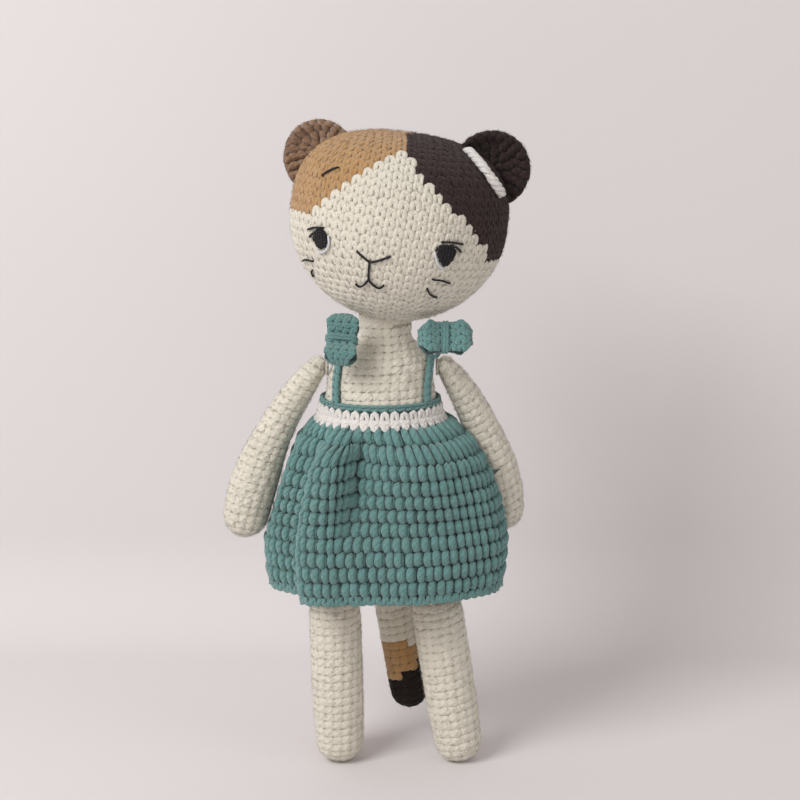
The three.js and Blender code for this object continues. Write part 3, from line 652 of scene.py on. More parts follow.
def stuffed(form, name, body, node, across=36, along=28):
    """The filling inside a cover, tufted where it presses on the stitches."""
    piece = wrapped(form, name, across, along, FILLING_DEPTH, [fibre_filling])
    chance = np.random.default_rng(len(name))
    co = np.zeros(len(piece.data.vertices) * 3)
    piece.data.vertices.foreach_get("co", co)
    piece.data.vertices.foreach_set("co", co + chance.normal(0, FILLING_TUFTS * MM, len(co)))
    stands_for(piece, node, body)


stuffed(head_form, "head_filling", "head", "head_stuffing")


# Ears: two cups of thick stitches, worked flat from the middle, drawn in at the rim and sewn
# to the head by their lower edge, the right one in brown yarn and the left one in dark yarn
EAR_CUP = 4.2
EAR_EDGE = 2.6
EAR_STITCH = 4.4
EAR_STITCH_HIGH = EAR_STITCH * 0.92
EAR_SKIN_DEPTH = 0.45
EAR_SUNK = 4
EARS = [  # side, radius, place on the head's own axes, tilt back and splay in degrees
    ("right", 18.9, (-43, 4, 72.6), 6, -6),
    ("left", 18.8, (40.6, 6, 78.8), 8, 10),
]

ear_brown_yarn = yarn_finish("ear_brown_yarn", paint(152, 119, 92), shade=0.8)
# The ear's brown darkened for the ground under its puffs: painted shade between the stitches
ear_brown_hollow_shade = yarn_finish("ear_brown_yarn_painted_hollow_shade", paint(136, 105, 80))


def ear_outline(radius):
    cup = [
        (0, -EAR_CUP - EAR_EDGE), (radius * 0.55, -EAR_CUP * 0.75 - EAR_EDGE), (radius * 0.9, -EAR_EDGE),
        (radius, 0), (radius * 0.92, EAR_EDGE * 0.8), (radius * 0.7, -EAR_EDGE * 0.3),
        (radius * 0.35, -EAR_CUP * 0.6), (0, -EAR_CUP * 0.75),
    ]
    line = smooth_line(cup, 90)
    line[[0, -1], 0] = 0
    line[:, 0] = np.maximum(line[:, 0], 0)
    return line


# Worked so tight, and brushed, that each stitch is only a low puff
felted_crochet = drawn(
    "felted_crochet",
    [([(0, -0.52, -2.4), (0, -0.36, -1.6), (0, 0, -1.3), (0, 0.36, -1.6), (0, 0.52, -2.4)],
      [1.3, 2.1, 2.5, 2.1, 1.3])],
    EAR_STITCH, EAR_STITCH_HIGH, flat=0.14,
)
in_head = np.array(head_stand.inverted())

for side, radius, place, turn, splay in EARS:
    ear_stand = (
        head_stand @ Matrix.Translation(place) @ turned(splay, "Z") @ turned(turn, "X") @ turned(90, "X")
    )
    ear_form = Turned(ear_outline(radius), carried(ear_stand))
    places = rounds(ear_form, END_GAP, ear_form.length - END_GAP, EAR_STITCH, EAR_STITCH_HIGH, seed=5)
    centres = np.stack(ear_form.at(places[:, 0], places[:, 1], -1.0), 1)
    centres = centres @ in_head[:3, :3].T + in_head[:3, 3]
    share = np.abs(centres[:, 2] - CHIN_TO_CHEEKS) / CHEEKS_TO_CROWN
    head_radius = HEAD_RADIUS * np.clip(1 - share**CROWN_POWER, 0, 1) ** (1 / CROWN_POWER)
    outside = np.hypot(centres[:, 0], centres[:, 1]) > head_radius - EAR_SUNK
    dark = side == "left"
    yarn, hollow = (dark_yarn, dark_hollow_shade) if dark else (ear_brown_yarn, ear_brown_hollow_shade)
    ear = joined(
        worked(ear_form, felted_crochet, places[outside], f"ear_{side}_crochet", [yarn]),
        wrapped(ear_form, f"ear_{side}_ground", 40, 30, EAR_SKIN_DEPTH, [hollow]),
    )
    stands_for(ear, f"ear_{side}", "head")
    frayed(ear_form, f"ear_{side}_fibres", "head", 1500, [yarn], seed=33)


# Bar at the left ear: thick white yarn of three plies, sewn over the ear's foot in two stitches
# that lie in one line, and drawn into the head at both ends and between them
BAR_PATH = ((66, 86.5), (63.5, 80), (67, 74.5), (74, 68))
BAR_STEPS = 60
BAR_PLIES = 3
BAR_PLY = 1.45
BAR_TWIST = 9
BAR_LIFT = 1.7
BAR_END_STEPS = 4

white_yarn = yarn_finish("white_yarn", paint(236, 231, 226))


def on_head(azimuth, height, lift):
    """A place on the head in millimetres."""
    return Vector(head_form.at(math.radians(azimuth), head_form.run_at(height), lift))


bm = bmesh.new()
bar_line = smooth_line([on_head(azimuth, height, 0.2) for azimuth, height in BAR_PATH], BAR_STEPS + 1)
bar_run = run_along(bar_line)
for ply in range(BAR_PLIES):
    points, girths = [], []
    for i, place in enumerate(bar_line):
        ahead = Vector(bar_line[min(i + 1, BAR_STEPS)] - bar_line[max(i - 1, 0)]).normalized()
        out = (Vector(place) - head_stand @ Vector((0, 0, 60))).normalized()
        side = ahead.cross(out).normalized()
        plump = abs(math.sin(TURN * i / BAR_STEPS)) ** 0.5
        tucked = min(1, i / BAR_END_STEPS, (BAR_STEPS - i) / BAR_END_STEPS)
        winding = TURN * (bar_run[i] / BAR_TWIST + ply / BAR_PLIES)
        spread = 0.75 + 0.45 * plump
        points.append(
            Vector(place) + side * math.cos(winding) * spread
            + out * (BAR_LIFT * tucked + math.sin(winding) * spread * 0.8)
        )
        girths.append(BAR_PLY * (0.82 + 0.18 * plump) * (0.55 + 0.45 * tucked))
    strand(bm, points, girths, sides=8)
stands_for(finished(bm, "ear_bar_yarn", [white_yarn]), "ear_bar", "head")


# Face: black cotton thread, sewn through the finished head. Each eye is filled with upright
# satin stitches; lashes, nose, mouth, whiskers and brow are single stitches.
THREAD = 0.55
THIN_THREAD = 0.5
SATIN_STEP = 0.8
THREAD_LIFT = 0.55
EYE_THREAD_LIFT = 0.8
THREAD_SUNK = 1.6

thread = {"plies": 2, "twist": 1.4}
black_thread = yarn_finish("black_thread", paint(34, 30, 33), **thread, shade=0.55, fuzz=0.12)
white_thread = yarn_finish("white_thread", paint(228, 231, 238), **thread, shade=0.8, fuzz=0.1)

# The places of the stitches: azimuth from the face towards the cat's left, height over the neck
EYE_OUTLINES = {
    "right": [
        (-36.9, 41.5), (-35, 43), (-31.3, 43.7), (-28.3, 41.8), (-27.8, 38.6), (-29.8, 35.4),
        (-33, 33.9), (-35.9, 34.8), (-38, 37.7),
    ],
    "left": [
        (30.2, 42.6), (32, 44.2), (35.6, 44.6), (39.7, 43.6), (41.7, 41.4), (40.8, 37.9),
        (39.2, 34.9), (36.7, 34.4), (33.4, 37), (31, 40.3),
    ],
}
LASHES = {
    "right": [[(-42.3, 41.7), (-36.8, 43.4), (-30.8, 44.2)], [(-41.2, 38.4), (-38.6, 40.2), (-35.6, 41.6)]],
    "left": [[(32.6, 45.6), (38.4, 45.9), (45, 45.4)], [(37.4, 44.4), (41.2, 43.7), (44.6, 41.7)]],
}
EYE_WHITES = {
    "right": [(-26.9, 41.4), (-26.5, 37.6), (-28.9, 34.2), (-33, 32.6), (-36, 33.5)],
    "left": [(29.6, 40.8), (31.2, 37.6), (34, 34.6), (37, 33.4)],
}
NOSE_AND_MOUTH = [
    [(-10.2, 36.4), (-6.6, 34.2), (-2.9, 32.2)],
    [(-2.9, 32.2), (1.6, 33.6), (7.9, 36.4)],
    [(-2.9, 32.4), (-3.4, 28), (-3.6, 23.6)],
    [(-3.7, 23.6), (-6.7, 20.9), (-9.7, 19.6), (-12.5, 20.3)],
    [(-3.7, 23.6), (-0.3, 21.2), (3.1, 20.4), (5.7, 22)],
]
SINGLE_STITCHES = {
    "whisker_right_upper": [(-59, 25), (-51, 26.7), (-42.6, 27)],
    "whisker_right_lower": [(-53, 18.6), (-51.4, 20.8), (-48.5, 22.1)],
    "whisker_left_upper": [(32.8, 27.6), (39, 27.4), (45.7, 26.1)],
    "whisker_left_lower": [(32, 22.9), (36, 20), (42.6, 18.4)],
    "brow_right": [(-38.8, 67.1), (-34.2, 70.1), (-29.2, 72.3)],
}


def stitched(bm, places, girth=THREAD, lift=THREAD_LIFT):
    """A thread that comes out of the head, lies on it through its places and goes back in."""
    line = smooth_line(places, 4 * len(places) + 1)
    points = []
    for i, (azimuth, height) in enumerate(line):
        sunk = THREAD_SUNK if i in (0, len(line) - 1) else 0
        points.append(on_head(azimuth, height, lift - sunk))
    strand(bm, points, girth)


for side, outline in EYE_OUTLINES.items():
    bm = bmesh.new()
    outline = np.array(outline)
    first, last = outline[:, 0].min(), outline[:, 0].max()
    count = round(math.radians(last - first) * HEAD_RADIUS / SATIN_STEP)
    for i in range(count):
        azimuth = first + (i + 0.5) / count * (last - first)
        crossings = []
        for (a0, h0), (a1, h1) in zip(outline, np.roll(outline, -1, axis=0)):
            if min(a0, a1) <= azimuth < max(a0, a1):
                crossings.append(h0 + (h1 - h0) * (azimuth - a0) / (a1 - a0))
        low, high = min(crossings), max(crossings)
        bulge = 0.5 + 0.5 * math.sin(math.pi * (i + 0.5) / count)
        line = []
        for k in range(9):
            share = k / 8
            lift = 0.25 + bulge * math.sin(math.pi * share) ** 0.5 * 0.75
            line.append(on_head(azimuth + (0.12 if i % 2 else -0.12), low + (high - low) * share, lift))
        strand(bm, line, THIN_THREAD)
    for places in LASHES[side]:
        stitched(bm, places, lift=EYE_THREAD_LIFT)
    stands_for(finished(bm, f"eye_{side}_thread", [black_thread]), f"eye_{side}", "head")
    bm = bmesh.new()
    stitched(bm, EYE_WHITES[side], THIN_THREAD, EYE_THREAD_LIFT)
    white = finished(bm, f"eye_white_{side}_thread", [white_thread])
    stands_for(white, f"eye_white_{side}", "head")

bm = bmesh.new()
for places in NOSE_AND_MOUTH:
    stitched(bm, places)
stands_for(finished(bm, "nose_and_mouth_thread", [black_thread]), "nose_mouth", "head")

for name, places in SINGLE_STITCHES.items():
    bm = bmesh.new()
    stitched(bm, places, THIN_THREAD)
    stands_for(finished(bm, f"{name}_thread", [black_thread]), name, "head")


# Body: one ivory pear from the seat to the neck, worked in the round and stuffed. Its neck
# goes up inside the head, to which it is sewn.
BLOCK_WIDE = 4.7
BLOCK_HIGH = 4.2
BODY_BOTTOM = 87
HIP_HEIGHT = 115
HIP_RADIUS = 36
CHEST_HEIGHT = 191
CHEST_RADIUS = 27.3
SHOULDER_HEIGHT = 207
SHOULDER_RADIUS = 24.2
NECK_RADIUS = 13
NECK_BASE = 221
BODY_DEPTH = 0.92
DRESS_TOP = 191.6
BODY_SWAY = -2.7


def mix(a, b, share):
    return a + (b - a) * share


def smooth(value, low, high):
    share = np.clip((value - low) / (high - low), 0, 1)
    return share * share * (3 - 2 * share)


def sway(height):
    """The chest hangs a little to the cat's right."""
    above = smooth(height, CHEST_HEIGHT + 6, NECK_BASE)
    return BODY_SWAY * smooth(height, BODY_BOTTOM, CHEST_HEIGHT) * (1 - above)


def bodied(x, y, z):
    return x + sway(z) + neck.x, y * BODY_DEPTH, z


def body_outline():
    turn = np.linspace(0, math.pi / 2, 30)[:-1]
    rise = BODY_BOTTOM + (HIP_HEIGHT - BODY_BOTTOM) * (1 - np.cos(turn))
    seat = np.stack([HIP_RADIUS * np.sin(turn), rise], 1)
    torso = smooth_line([
        (HIP_RADIUS, HIP_HEIGHT),
        (mix(HIP_RADIUS, CHEST_RADIUS, 0.3), mix(HIP_HEIGHT, CHEST_HEIGHT, 0.45)),
        (CHEST_RADIUS, CHEST_HEIGHT),
        (SHOULDER_RADIUS, SHOULDER_HEIGHT),
        (mix(SHOULDER_RADIUS, NECK_RADIUS, 0.55), mix(SHOULDER_HEIGHT, NECK_BASE, 0.6)),
        (NECK_RADIUS, NECK_BASE),
        (NECK_RADIUS - 0.2, NECK_BASE + 6),
        (NECK_RADIUS + 0.6, NECK_BASE + 12),
    ], 120)
    return np.vstack([seat, torso])


# The same stitch seen on a tightly worked part: a pad that lies along its round, with a pinhole
# where four pads meet
pad_crochet = drawn(
    "pad_crochet",
    [([(-0.62, 0, -3.3), (-0.36, 0.03, -2.4), (0, 0.05, -2.1), (0.36, 0.03, -2.4), (0.62, 0, -3.3)],
      [1.3, 2.35, 2.7, 2.35, 1.3])],
    BLOCK_WIDE, BLOCK_HIGH, flat=0.22, sides=8,
)
body_form = Turned(body_outline(), bodied)
body_places = rounds(body_form, 2, body_form.length - 0.5, BLOCK_WIDE, BLOCK_HIGH, lean=0.03, seed=2)
body_cover = joined(
    worked(body_form, pad_crochet, body_places, "body_cover_crochet", [ivory_yarn]),
    wrapped(body_form, "body_ground", 64, 50, SKIN_DEPTH, [ivory_hollow_shade]),
)
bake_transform(body_cover)
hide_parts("body_cover")
body_heights = body_form.points[:, 1]
bare = (body_heights > DRESS_TOP) & (body_heights < NECK_BASE)
chest_form = Turned(body_form.points[bare], bodied)
frayed(chest_form, "chest_fibres", "body", 1500, [ivory_yarn], seed=34)
body_filling_form = Turned(body_form.points[body_heights < NECK_BASE + 2], bodied)
stuffed(body_filling_form, "body_filling", "body", "body_stuffing")


# Sewing yarn: where two parts meet, the end of the ivory yarn goes round in one ring of two
# plies and holds them together
SEWING_YARN = 1.4
SEWING_PLY = 0.36
PLY_APART = 0.33
PLY_TWIST = 4
SEAM_STEPS = 48
HEAD_MOUTH = 7
HEAD_SEAM_DOWN = 0.85


def seam_ring(name, node, body, carry, radius):
    bm = bmesh.new()
    for ply in (0, math.pi):
        line = []
        for i in range(SEAM_STEPS + 1):
            turn = TURN * i / SEAM_STEPS
            winding = ply + turn * round(TURN * radius / PLY_TWIST)
            reach = radius + PLY_APART * math.cos(winding)
            rise = PLY_APART * math.sin(winding)
            line.append(carry(reach * math.cos(turn), reach * math.sin(turn), rise))
        strand(bm, line, SEWING_PLY)
    stands_for(finished(bm, name, [ivory_yarn]), node, body)


neck_ring = neck_stand @ Matrix.Translation((0, 0, -HEAD_SEAM_DOWN))
seam_ring("neck_seam_yarn", "neck_seam", "neck", carried(neck_ring), HEAD_MOUTH)


# Arms: slim tubes of ivory yarn, curved, worked from the hand up and lightly stuffed. Each is
# sewn to its shoulder, and the left one is drawn in against the body.
ARM_LENGTH = 96
ARM_TOP_RADIUS = 5
ARM_SEAM = 4
ARM_ELBOW_RADIUS = 9.2
HAND_RADIUS = 11.8
ARM_SPLAY_TOP = 40
ARM_SPLAY_HAND = 8
LEFT_ARM_IN = 5.5
LEFT_ARM_BACK = 13
FIT = 0.35
LIMB_SKIN_DEPTH = 0.38
SIDES = (("right", -1), ("left", 1))

arm_sections = [
    (HAND_RADIUS * 0.96, 0.87),
    (HAND_RADIUS, 0.76),
    (mix(ARM_ELBOW_RADIUS, HAND_RADIUS, 0.75), 0.6),
    (ARM_ELBOW_RADIUS, 0.42),
    (mix(ARM_TOP_RADIUS, ARM_ELBOW_RADIUS, 0.45), 0.13),
    (ARM_TOP_RADIUS, 0),
]


def limb_outline(length, sections):
    """From the round closed end up to the round top."""
    end_radius, end_share = sections[0]
    turn = np.linspace(math.pi / 2, 0, 16)[:-1]
    end = np.stack([end_radius * np.cos(turn), -length * mix(end_share, 1, np.sin(turn))], 1)
    middle = smooth_line([(radius, -length * share) for radius, share in sections], 60)
    turn = np.linspace(math.pi / 2, 0, 12)[1:]
    top = np.stack([sections[-1][0] * np.sin(turn), sections[-1][0] * np.cos(turn)], 1)
    line = np.vstack([end, middle, top])
    line[[0, -1], 0] = 0
    return line


def arm_line(along):
    slope = math.radians(ARM_SPLAY_HAND - ARM_SPLAY_TOP) / ARM_LENGTH
    first = math.radians(ARM_SPLAY_TOP)
    here = first + slope * along
    return (math.cos(first) - np.cos(here)) / slope, (np.sin(here) - math.sin(first)) / slope, here


def bent(side, stand):
    """Curves a hanging arm along its line and carries it to its shoulder."""
    place = carried(stand)

    def carry(x, y, z):
        out, down, here = arm_line(np.maximum(-z, 0))
        above = np.maximum(z, 0)
        reach = out + side * x * np.cos(here) - above * np.sin(here)
        rise = side * x * np.sin(here) + above * np.cos(here) - down
        return place(side * reach, y, rise)

    return carry


def limb(form, part, side):
    """A stuffed ivory limb with its filling; its body has the limb's own name."""
    name = f"{part}_{side}"
    cover_name = f"{part}_cover_{side}"
    places = rounds(
        form, END_GAP, form.length - END_GAP, BLOCK_WIDE, BLOCK_HIGH, lean=0.05, seed=len(name)
    )
    cover = joined(
        worked(form, pad_crochet, places, f"{cover_name}_crochet", [ivory_yarn]),
        wrapped(form, f"{name}_ground", 40, 40, LIMB_SKIN_DEPTH, [ivory_hollow_shade]),
    )
    stands_for(cover, cover_name, name)
    frayed(form, f"{name}_fibres", name, 3000, [ivory_yarn], seed=len(name) + 40)
    stuffed(form, f"{name}_filling", name, f"{part}_stuffing_{side}", 24, 24)


def seam_height(limb_radius, radius):
    """How far over a limb's pivot its ring of sewing yarn lies, clear of the limb's round top."""
    return math.sqrt((limb_radius + FIT + SEWING_YARN / 2) ** 2 - radius**2)


arm_stands = {}
for side, sign in SIDES:
    stand = Matrix.Translation(joint_at[f"arm_swing_{side}"])
    height = seam_height(ARM_TOP_RADIUS, ARM_SEAM)
    ring = stand @ turned(-sign * 90, "Y") @ Matrix.Translation((0, 0, height))
    seam = f"shoulder_seam_{side}"
    seam_ring(f"{seam}_yarn", seam, f"shoulder_{side}", carried(ring), ARM_SEAM)
    if side == "left":
        stand = stand @ turned(LEFT_ARM_BACK, "X") @ turned(LEFT_ARM_IN, "Y")
    arm_stands[side] = stand
    limb(Turned(limb_outline(ARM_LENGTH, arm_sections), bent(sign, stand)), "arm", side)


# Legs: straight tubes of ivory yarn, worked from the foot up and stuffed, their soles flattened
# by standing. Each is sewn to the seat by its top.
LEG_RADIUS = 13
LEG_SEAM = 3
FOOT_RADIUS = 12
SOLE_CUT = 0.5
LEG_SPLAY = {"right": -1.7, "left": 9}

for side, sign in SIDES:
    pivot = joint_at[f"hip_swing_{side}"]
    splay = math.radians(LEG_SPLAY[side])
    foot = (pivot.z - FOOT_RADIUS + SOLE_CUT) / math.cos(splay)
    length = foot + FOOT_RADIUS
    sections = [
        (FOOT_RADIUS, foot / length), (LEG_RADIUS * 0.99, 0.6), (LEG_RADIUS, 0.3), (LEG_RADIUS, 0),
    ]
    place = carried(Matrix.Translation(pivot) @ Matrix.Rotation(-sign * splay, 4, "Y"))

    def standing(x, y, z, place=place):
        x, y, z = place(x, y, z)
        return x, y, np.maximum(z, 0)

    limb(Turned(limb_outline(length, sections), standing), "leg", side)
    ring = Matrix.Translation(pivot + Vector((0, 0, seam_height(LEG_RADIUS, LEG_SEAM))))
    seam_ring(f"hip_seam_{side}_yarn", f"hip_seam_{side}", "body", carried(ring), LEG_SEAM)


# Tail: a short stuffed tube of yarn, worked from its dark tip through ochre to its ivory root,
# by which it is sewn to the seat
TAIL_RADIUS = 10.3
TAIL_SEAM = 5.5
TAIL_LENGTH = 65
TAIL_LEAN = 9.2
TAIL_OCHRE_FROM = 26.5
TAIL_OCHRE_TO = 42.6
TAIL_OCHRE_SLOPE = 2.2
TAIL_DARK_SLOPE = 5.4
TAIL_SECTIONS = [(TAIL_RADIUS * 0.97, 0.84), (TAIL_RADIUS, 0.5), (TAIL_RADIUS, 0)]

# The tip's dark yarn made darker still than the head's: painted shade for the shadow the dress and leg cast
# on it
tip_shaded_yarn = yarn_finish("tail_tip_shaded_yarn", paint(34, 26, 23), fuzz=0.04)
tail_yarns = [ivory_yarn, ochre_yarn, tip_shaded_yarn]

tail_root = joint_at["tail_lift"]
tail_stand = Matrix.Translation(tail_root) @ turned(-TAIL_LEAN, "Y")
tail_form = Turned(limb_outline(TAIL_LENGTH, TAIL_SECTIONS), carried(tail_stand))


def tail_tone(angle, along):
    """0 ivory, 1 ochre, 2 dark, for a place on the tail; both changes slope round it."""
    height, aside = tail_form.height(along), np.sin(angle)
    ivory = height > -TAIL_OCHRE_FROM - TAIL_OCHRE_SLOPE * aside
    ochre = height > -TAIL_OCHRE_TO + TAIL_DARK_SLOPE * aside
    return np.where(ivory, 0, np.where(ochre, 1, 2))


tail_places = rounds(tail_form, END_GAP, tail_form.length - END_GAP, BLOCK_WIDE, BLOCK_HIGH, seed=11)
tail_tones = tail_tone(tail_places[:, 0], tail_places[:, 1])
tail_cover = joined(
    worked(tail_form, pad_crochet, tail_places, "tail_cover_crochet", tail_yarns, tail_tones),
    wrapped(tail_form, "tail_ground", 40, 30, SKIN_DEPTH, head_hollow_shades, tail_tone),
)
stands_for(tail_cover, "tail_cover", "tail")
frayed(tail_form, "tail_fibres", "tail", 800, tail_yarns, tail_tone, seed=35)
stuffed(tail_form, "tail_filling", "tail", "tail_stuffing", 24, 24)
ring = Matrix.Translation(tail_root + Vector((0, 0, seam_height(TAIL_RADIUS, TAIL_SEAM))))
seam_ring("tail_seam_yarn", "tail_seam", "body", carried(ring), TAIL_SEAM)


# Skirt: green cotton yarn in rounds of tall stitches, each with a plump loop below. It is worked
# on to the band, wider in each round, so that it stands off the hips and falls in soft folds,
# and the arms press it in at the sides.
BAND_HIGH = 10
HEM_HEIGHT = 98.5
HEM_ROW = 3
SKIRT_TOP_RADIUS = 33
SKIRT_RADIUS = 60.5
HEM_RADIUS = 59.2
SKIRT_TOP_DEPTH = 0.88
SKIRT_DEPTH = 0.69
SKIRT_SWAY_ENDS = 163
PRESS_GAP = 1.8
CLOTH_THICK = 3.3
ARM_SWING = {"right": (15, 45), "left": (40, 0)}
CLOTH_DEPTH = 2.0
GIRTH_STEPS = 720
SKIRT_FIBRES = 4500
POST_WIDE = 4.65
POST_HIGH = 7.6
# The heights of the lines between the rounds
ROW_LINES = (181.3, 174.2, 165.4, 157.3, 149.7, 142.9, 136.2, 129.6, 122.4, 115.0, 107.2, 99.4)
# Azimuth, spread and depth of each small fold
FOLDS = ((62, 12, 1.8), (136, 12, 2.4), (160, 9, -2.6), (-168, 12, 2.2), (-140, 9, -2.8), (-116, 10, 1.8))
# The deepest fold starts right under the band: a broad ridge, a steep flank that faces the
# cat's left and a valley. Between two heights it opens into a soft bulge at the hem.
LONG_FOLD = [
    (-68, 0), (-58, -3), (-50, -3.5), (-44, 0), (-39.5, 7), (-35, 10.5), (-28, 10.5), (-24.8, 9.5),
    (-22.4, 3), (-20.4, -7), (-17.5, -10), (-11, -7), (0, -3.5), (12, 0), (26, 1.5), (44, 0),
]
FOLD_OPENS = (152, 114)
HEM_FOLD = [
    (-70, 0), (-58, -3), (-49, -3), (-42, 3.5), (-36, 9), (-28, 9), (-16, 4), (-3, -1), (14, 0), (44, 0),
]
# In front the cloth stands out under the band and hangs straight below: azimuth and spread,
# height and spread, and how far
SAGS = (((20, 30), (164, 8), 2.4), ((12, 26), (137, 13), -1.5))

teal_yarn = yarn_finish("teal_yarn", paint(103, 149, 146), shade=0.55)
# The green yarn darkened for the cloth and ground behind green and white stitches: painted shade in the
# gaps between them
teal_hollow_shade = yarn_finish("teal_yarn_painted_hollow_shade", paint(56, 84, 83))

skirt_top = DRESS_TOP - BAND_HIGH - 0.3
skirt_line = smooth_line([
    (SKIRT_TOP_RADIUS, skirt_top),
    (mix(SKIRT_TOP_RADIUS, SKIRT_RADIUS, 0.46), mix(skirt_top, HEM_HEIGHT, 0.16)),
    (mix(SKIRT_TOP_RADIUS, SKIRT_RADIUS, 0.8), mix(skirt_top, HEM_HEIGHT, 0.41)),
    (SKIRT_RADIUS, mix(skirt_top, HEM_HEIGHT, 0.72)),
    (HEM_RADIUS, HEM_HEIGHT),
    (HEM_RADIUS - 0.4, HEM_HEIGHT - HEM_ROW),
], 80)


def arm_balls():
    """The balls of both arms along their lines, in each place that they swing through."""
    radii = smooth_line([(share, radius) for radius, share in arm_sections[::-1]], 21)[:, 1]
    found = []
    for side, sign in SIDES:
        back, forth = ARM_SWING[side]
        pivot = joint_at[f"arm_swing_{side}"]
        for swing in range(-back, forth + 1, 5):
            turn = Matrix.Translation(pivot) @ turned(-swing, "X") @ Matrix.Translation(-pivot)
            for i in range(2, 21):
                out, down, _ = arm_line(i / 20 * arm_sections[0][1] * ARM_LENGTH)
                centre = turn @ arm_stands[side] @ Vector((sign * out, 0, -down))
                found.append((*centre, radii[i] + PRESS_GAP))
    return np.array(found)


class Draped:
    """A closed cloth face given by a grid of points: turned angles by places along its line."""

    def __init__(self, grid, run):
        self.grid, self.run = grid, run
        self.length = run[-1]
        across = np.roll(grid, -1, 0) - np.roll(grid, 1, 0)
        normal = np.cross(across, np.gradient(grid, axis=1))
        normal /= np.linalg.norm(normal, axis=2, keepdims=True)
        outwards = (normal * (grid - grid.mean(0))).sum()
        self.normal = normal * np.sign(outwards)

    def look_up(self, table, angle, along):
        turns = self.grid.shape[0]
        column = np.asarray(angle) / TURN * turns % turns
        row = np.interp(along, self.run, np.arange(len(self.run)))
        i, j = np.floor(column).astype(int), np.minimum(np.floor(row).astype(int), len(self.run) - 2)
        s, t = (column - i)[..., None], (row - j)[..., None]
        k = (i + 1) % turns
        i = i % turns
        upper = table[i, j] * (1 - s) + table[k, j] * s
        lower = table[i, j + 1] * (1 - s) + table[k, j + 1] * s
        return upper * (1 - t) + lower * t

    def at(self, angle, along, lift=0.0):
        angle, along = np.broadcast_arrays(angle, along)
        lift = np.broadcast_to(lift, angle.shape)[..., None]
        point = self.look_up(self.grid, angle, along) + lift * self.look_up(self.normal, angle, along)
        return point[..., 0], point[..., 1], point[..., 2]

    def girth(self, along):
        """Angles for two turns round the cloth, and how far along its ring each of them lies."""
        angle = np.linspace(0, 2 * TURN, 2 * GIRTH_STEPS + 1)
        return angle, run_along(np.stack(self.at(angle, np.full(len(angle), along)), 1))


def skirt_grid(turns=480):
    azimuth = (np.arange(turns) / turns * 360 + 180) % 360 - 180
    a, (radius, height) = np.radians(azimuth)[:, None], skirt_line.T
    drop = smooth(-height, -skirt_top, -HEM_HEIGHT)
    out = np.zeros((turns, len(height)))

    def near(centre, spread):
        away = (azimuth - centre + 180) % 360 - 180
        return np.exp(-((away / spread) ** 2))[:, None]

    for centre, spread, depth in FOLDS:
        out += drop * depth * near(centre, spread)
    early = smooth(-height, -skirt_top - 1, -mix(skirt_top, HEM_HEIGHT, 0.2))
    opened = smooth(-height, -FOLD_OPENS[0], -FOLD_OPENS[1]) * 0.85
    sharp, broad = (
        np.interp(azimuth, *smooth_line(fold, 160).T)[:, None] for fold in (LONG_FOLD, HEM_FOLD)
    )
    out += early * mix(sharp, broad, opened)
    for (centre, spread), (level, tall), depth in SAGS:
        out += depth * near(centre, spread) * np.exp(-(((height - level) / tall) ** 2))
    depth = mix(SKIRT_TOP_DEPTH, SKIRT_DEPTH, np.minimum(1, 1.6 * drop))
    aside = sway(height) * smooth(height, SKIRT_SWAY_ENDS, DRESS_TOP) + neck.x
    reach = radius + out
    grid = np.stack([np.sin(a) * reach + aside, -np.cos(a) * reach * depth, height + 0 * reach], 2)
    inwards = -(grid - (neck.x, 0, 0)) * (1, 1, 0)
    inwards /= np.linalg.norm(inwards, axis=2, keepdims=True)
    push = np.zeros(grid.shape[:2])
    for x, y, z, ball in arm_balls():
        to = grid - (x, y, z)
        middle = -(to * inwards).sum(2)
        aside = np.sqrt(np.maximum((to**2).sum(2) - middle**2, 0))
        meets = (aside < ball) & (middle < ball)
        push = np.maximum(push, np.where(meets, middle + np.sqrt(np.maximum(ball**2 - aside**2, 0)), 0))
    for _ in range(3):
        soft = (np.roll(push, 1, 0) + np.roll(push, -1, 0) + 2 * push) / 4
        push = np.maximum(push, soft)
    grid += inwards * push[..., None]
    away = np.stack([grid[..., 0] - neck.x - sway(height), grid[..., 1] / BODY_DEPTH], 2)
    far = np.linalg.norm(away, axis=2)
    least = body_form.radius_at(height) + CLOTH_THICK
    away *= np.maximum(least / far, 1)[..., None]
    return np.stack([away[..., 0] + neck.x + sway(height), away[..., 1] * BODY_DEPTH, grid[..., 2]], 2)


skirt_run = run_along(skirt_line)
skirt_form = Draped(skirt_grid(), skirt_run)


# A tall stitch seen from outside: a plump loop that stands out most near its foot and curls
# under there, and its second leg, deep behind it on the right
tall_stitch = drawn("tall_stitch", [
    ([(0.1, 0.48, -2.7), (0.03, 0.37, -1.75), (-0.06, 0.14, -1.2), (-0.07, -0.12, -0.95),
      (0.0, -0.31, -1.15), (0.1, -0.41, -1.9), (0.14, -0.4, -2.8)],
     [1.1, 1.75, 2.05, 2.15, 1.95, 1.3, 0.8]),
    ([(0.44, 0.42, -2.6), (0.42, 0.1, -1.95), (0.42, -0.2, -2.0), (0.36, -0.4, -2.7)],
     [0.9, 1.1, 1.1, 0.8]),
], POST_WIDE, POST_HIGH, flat=0.85)


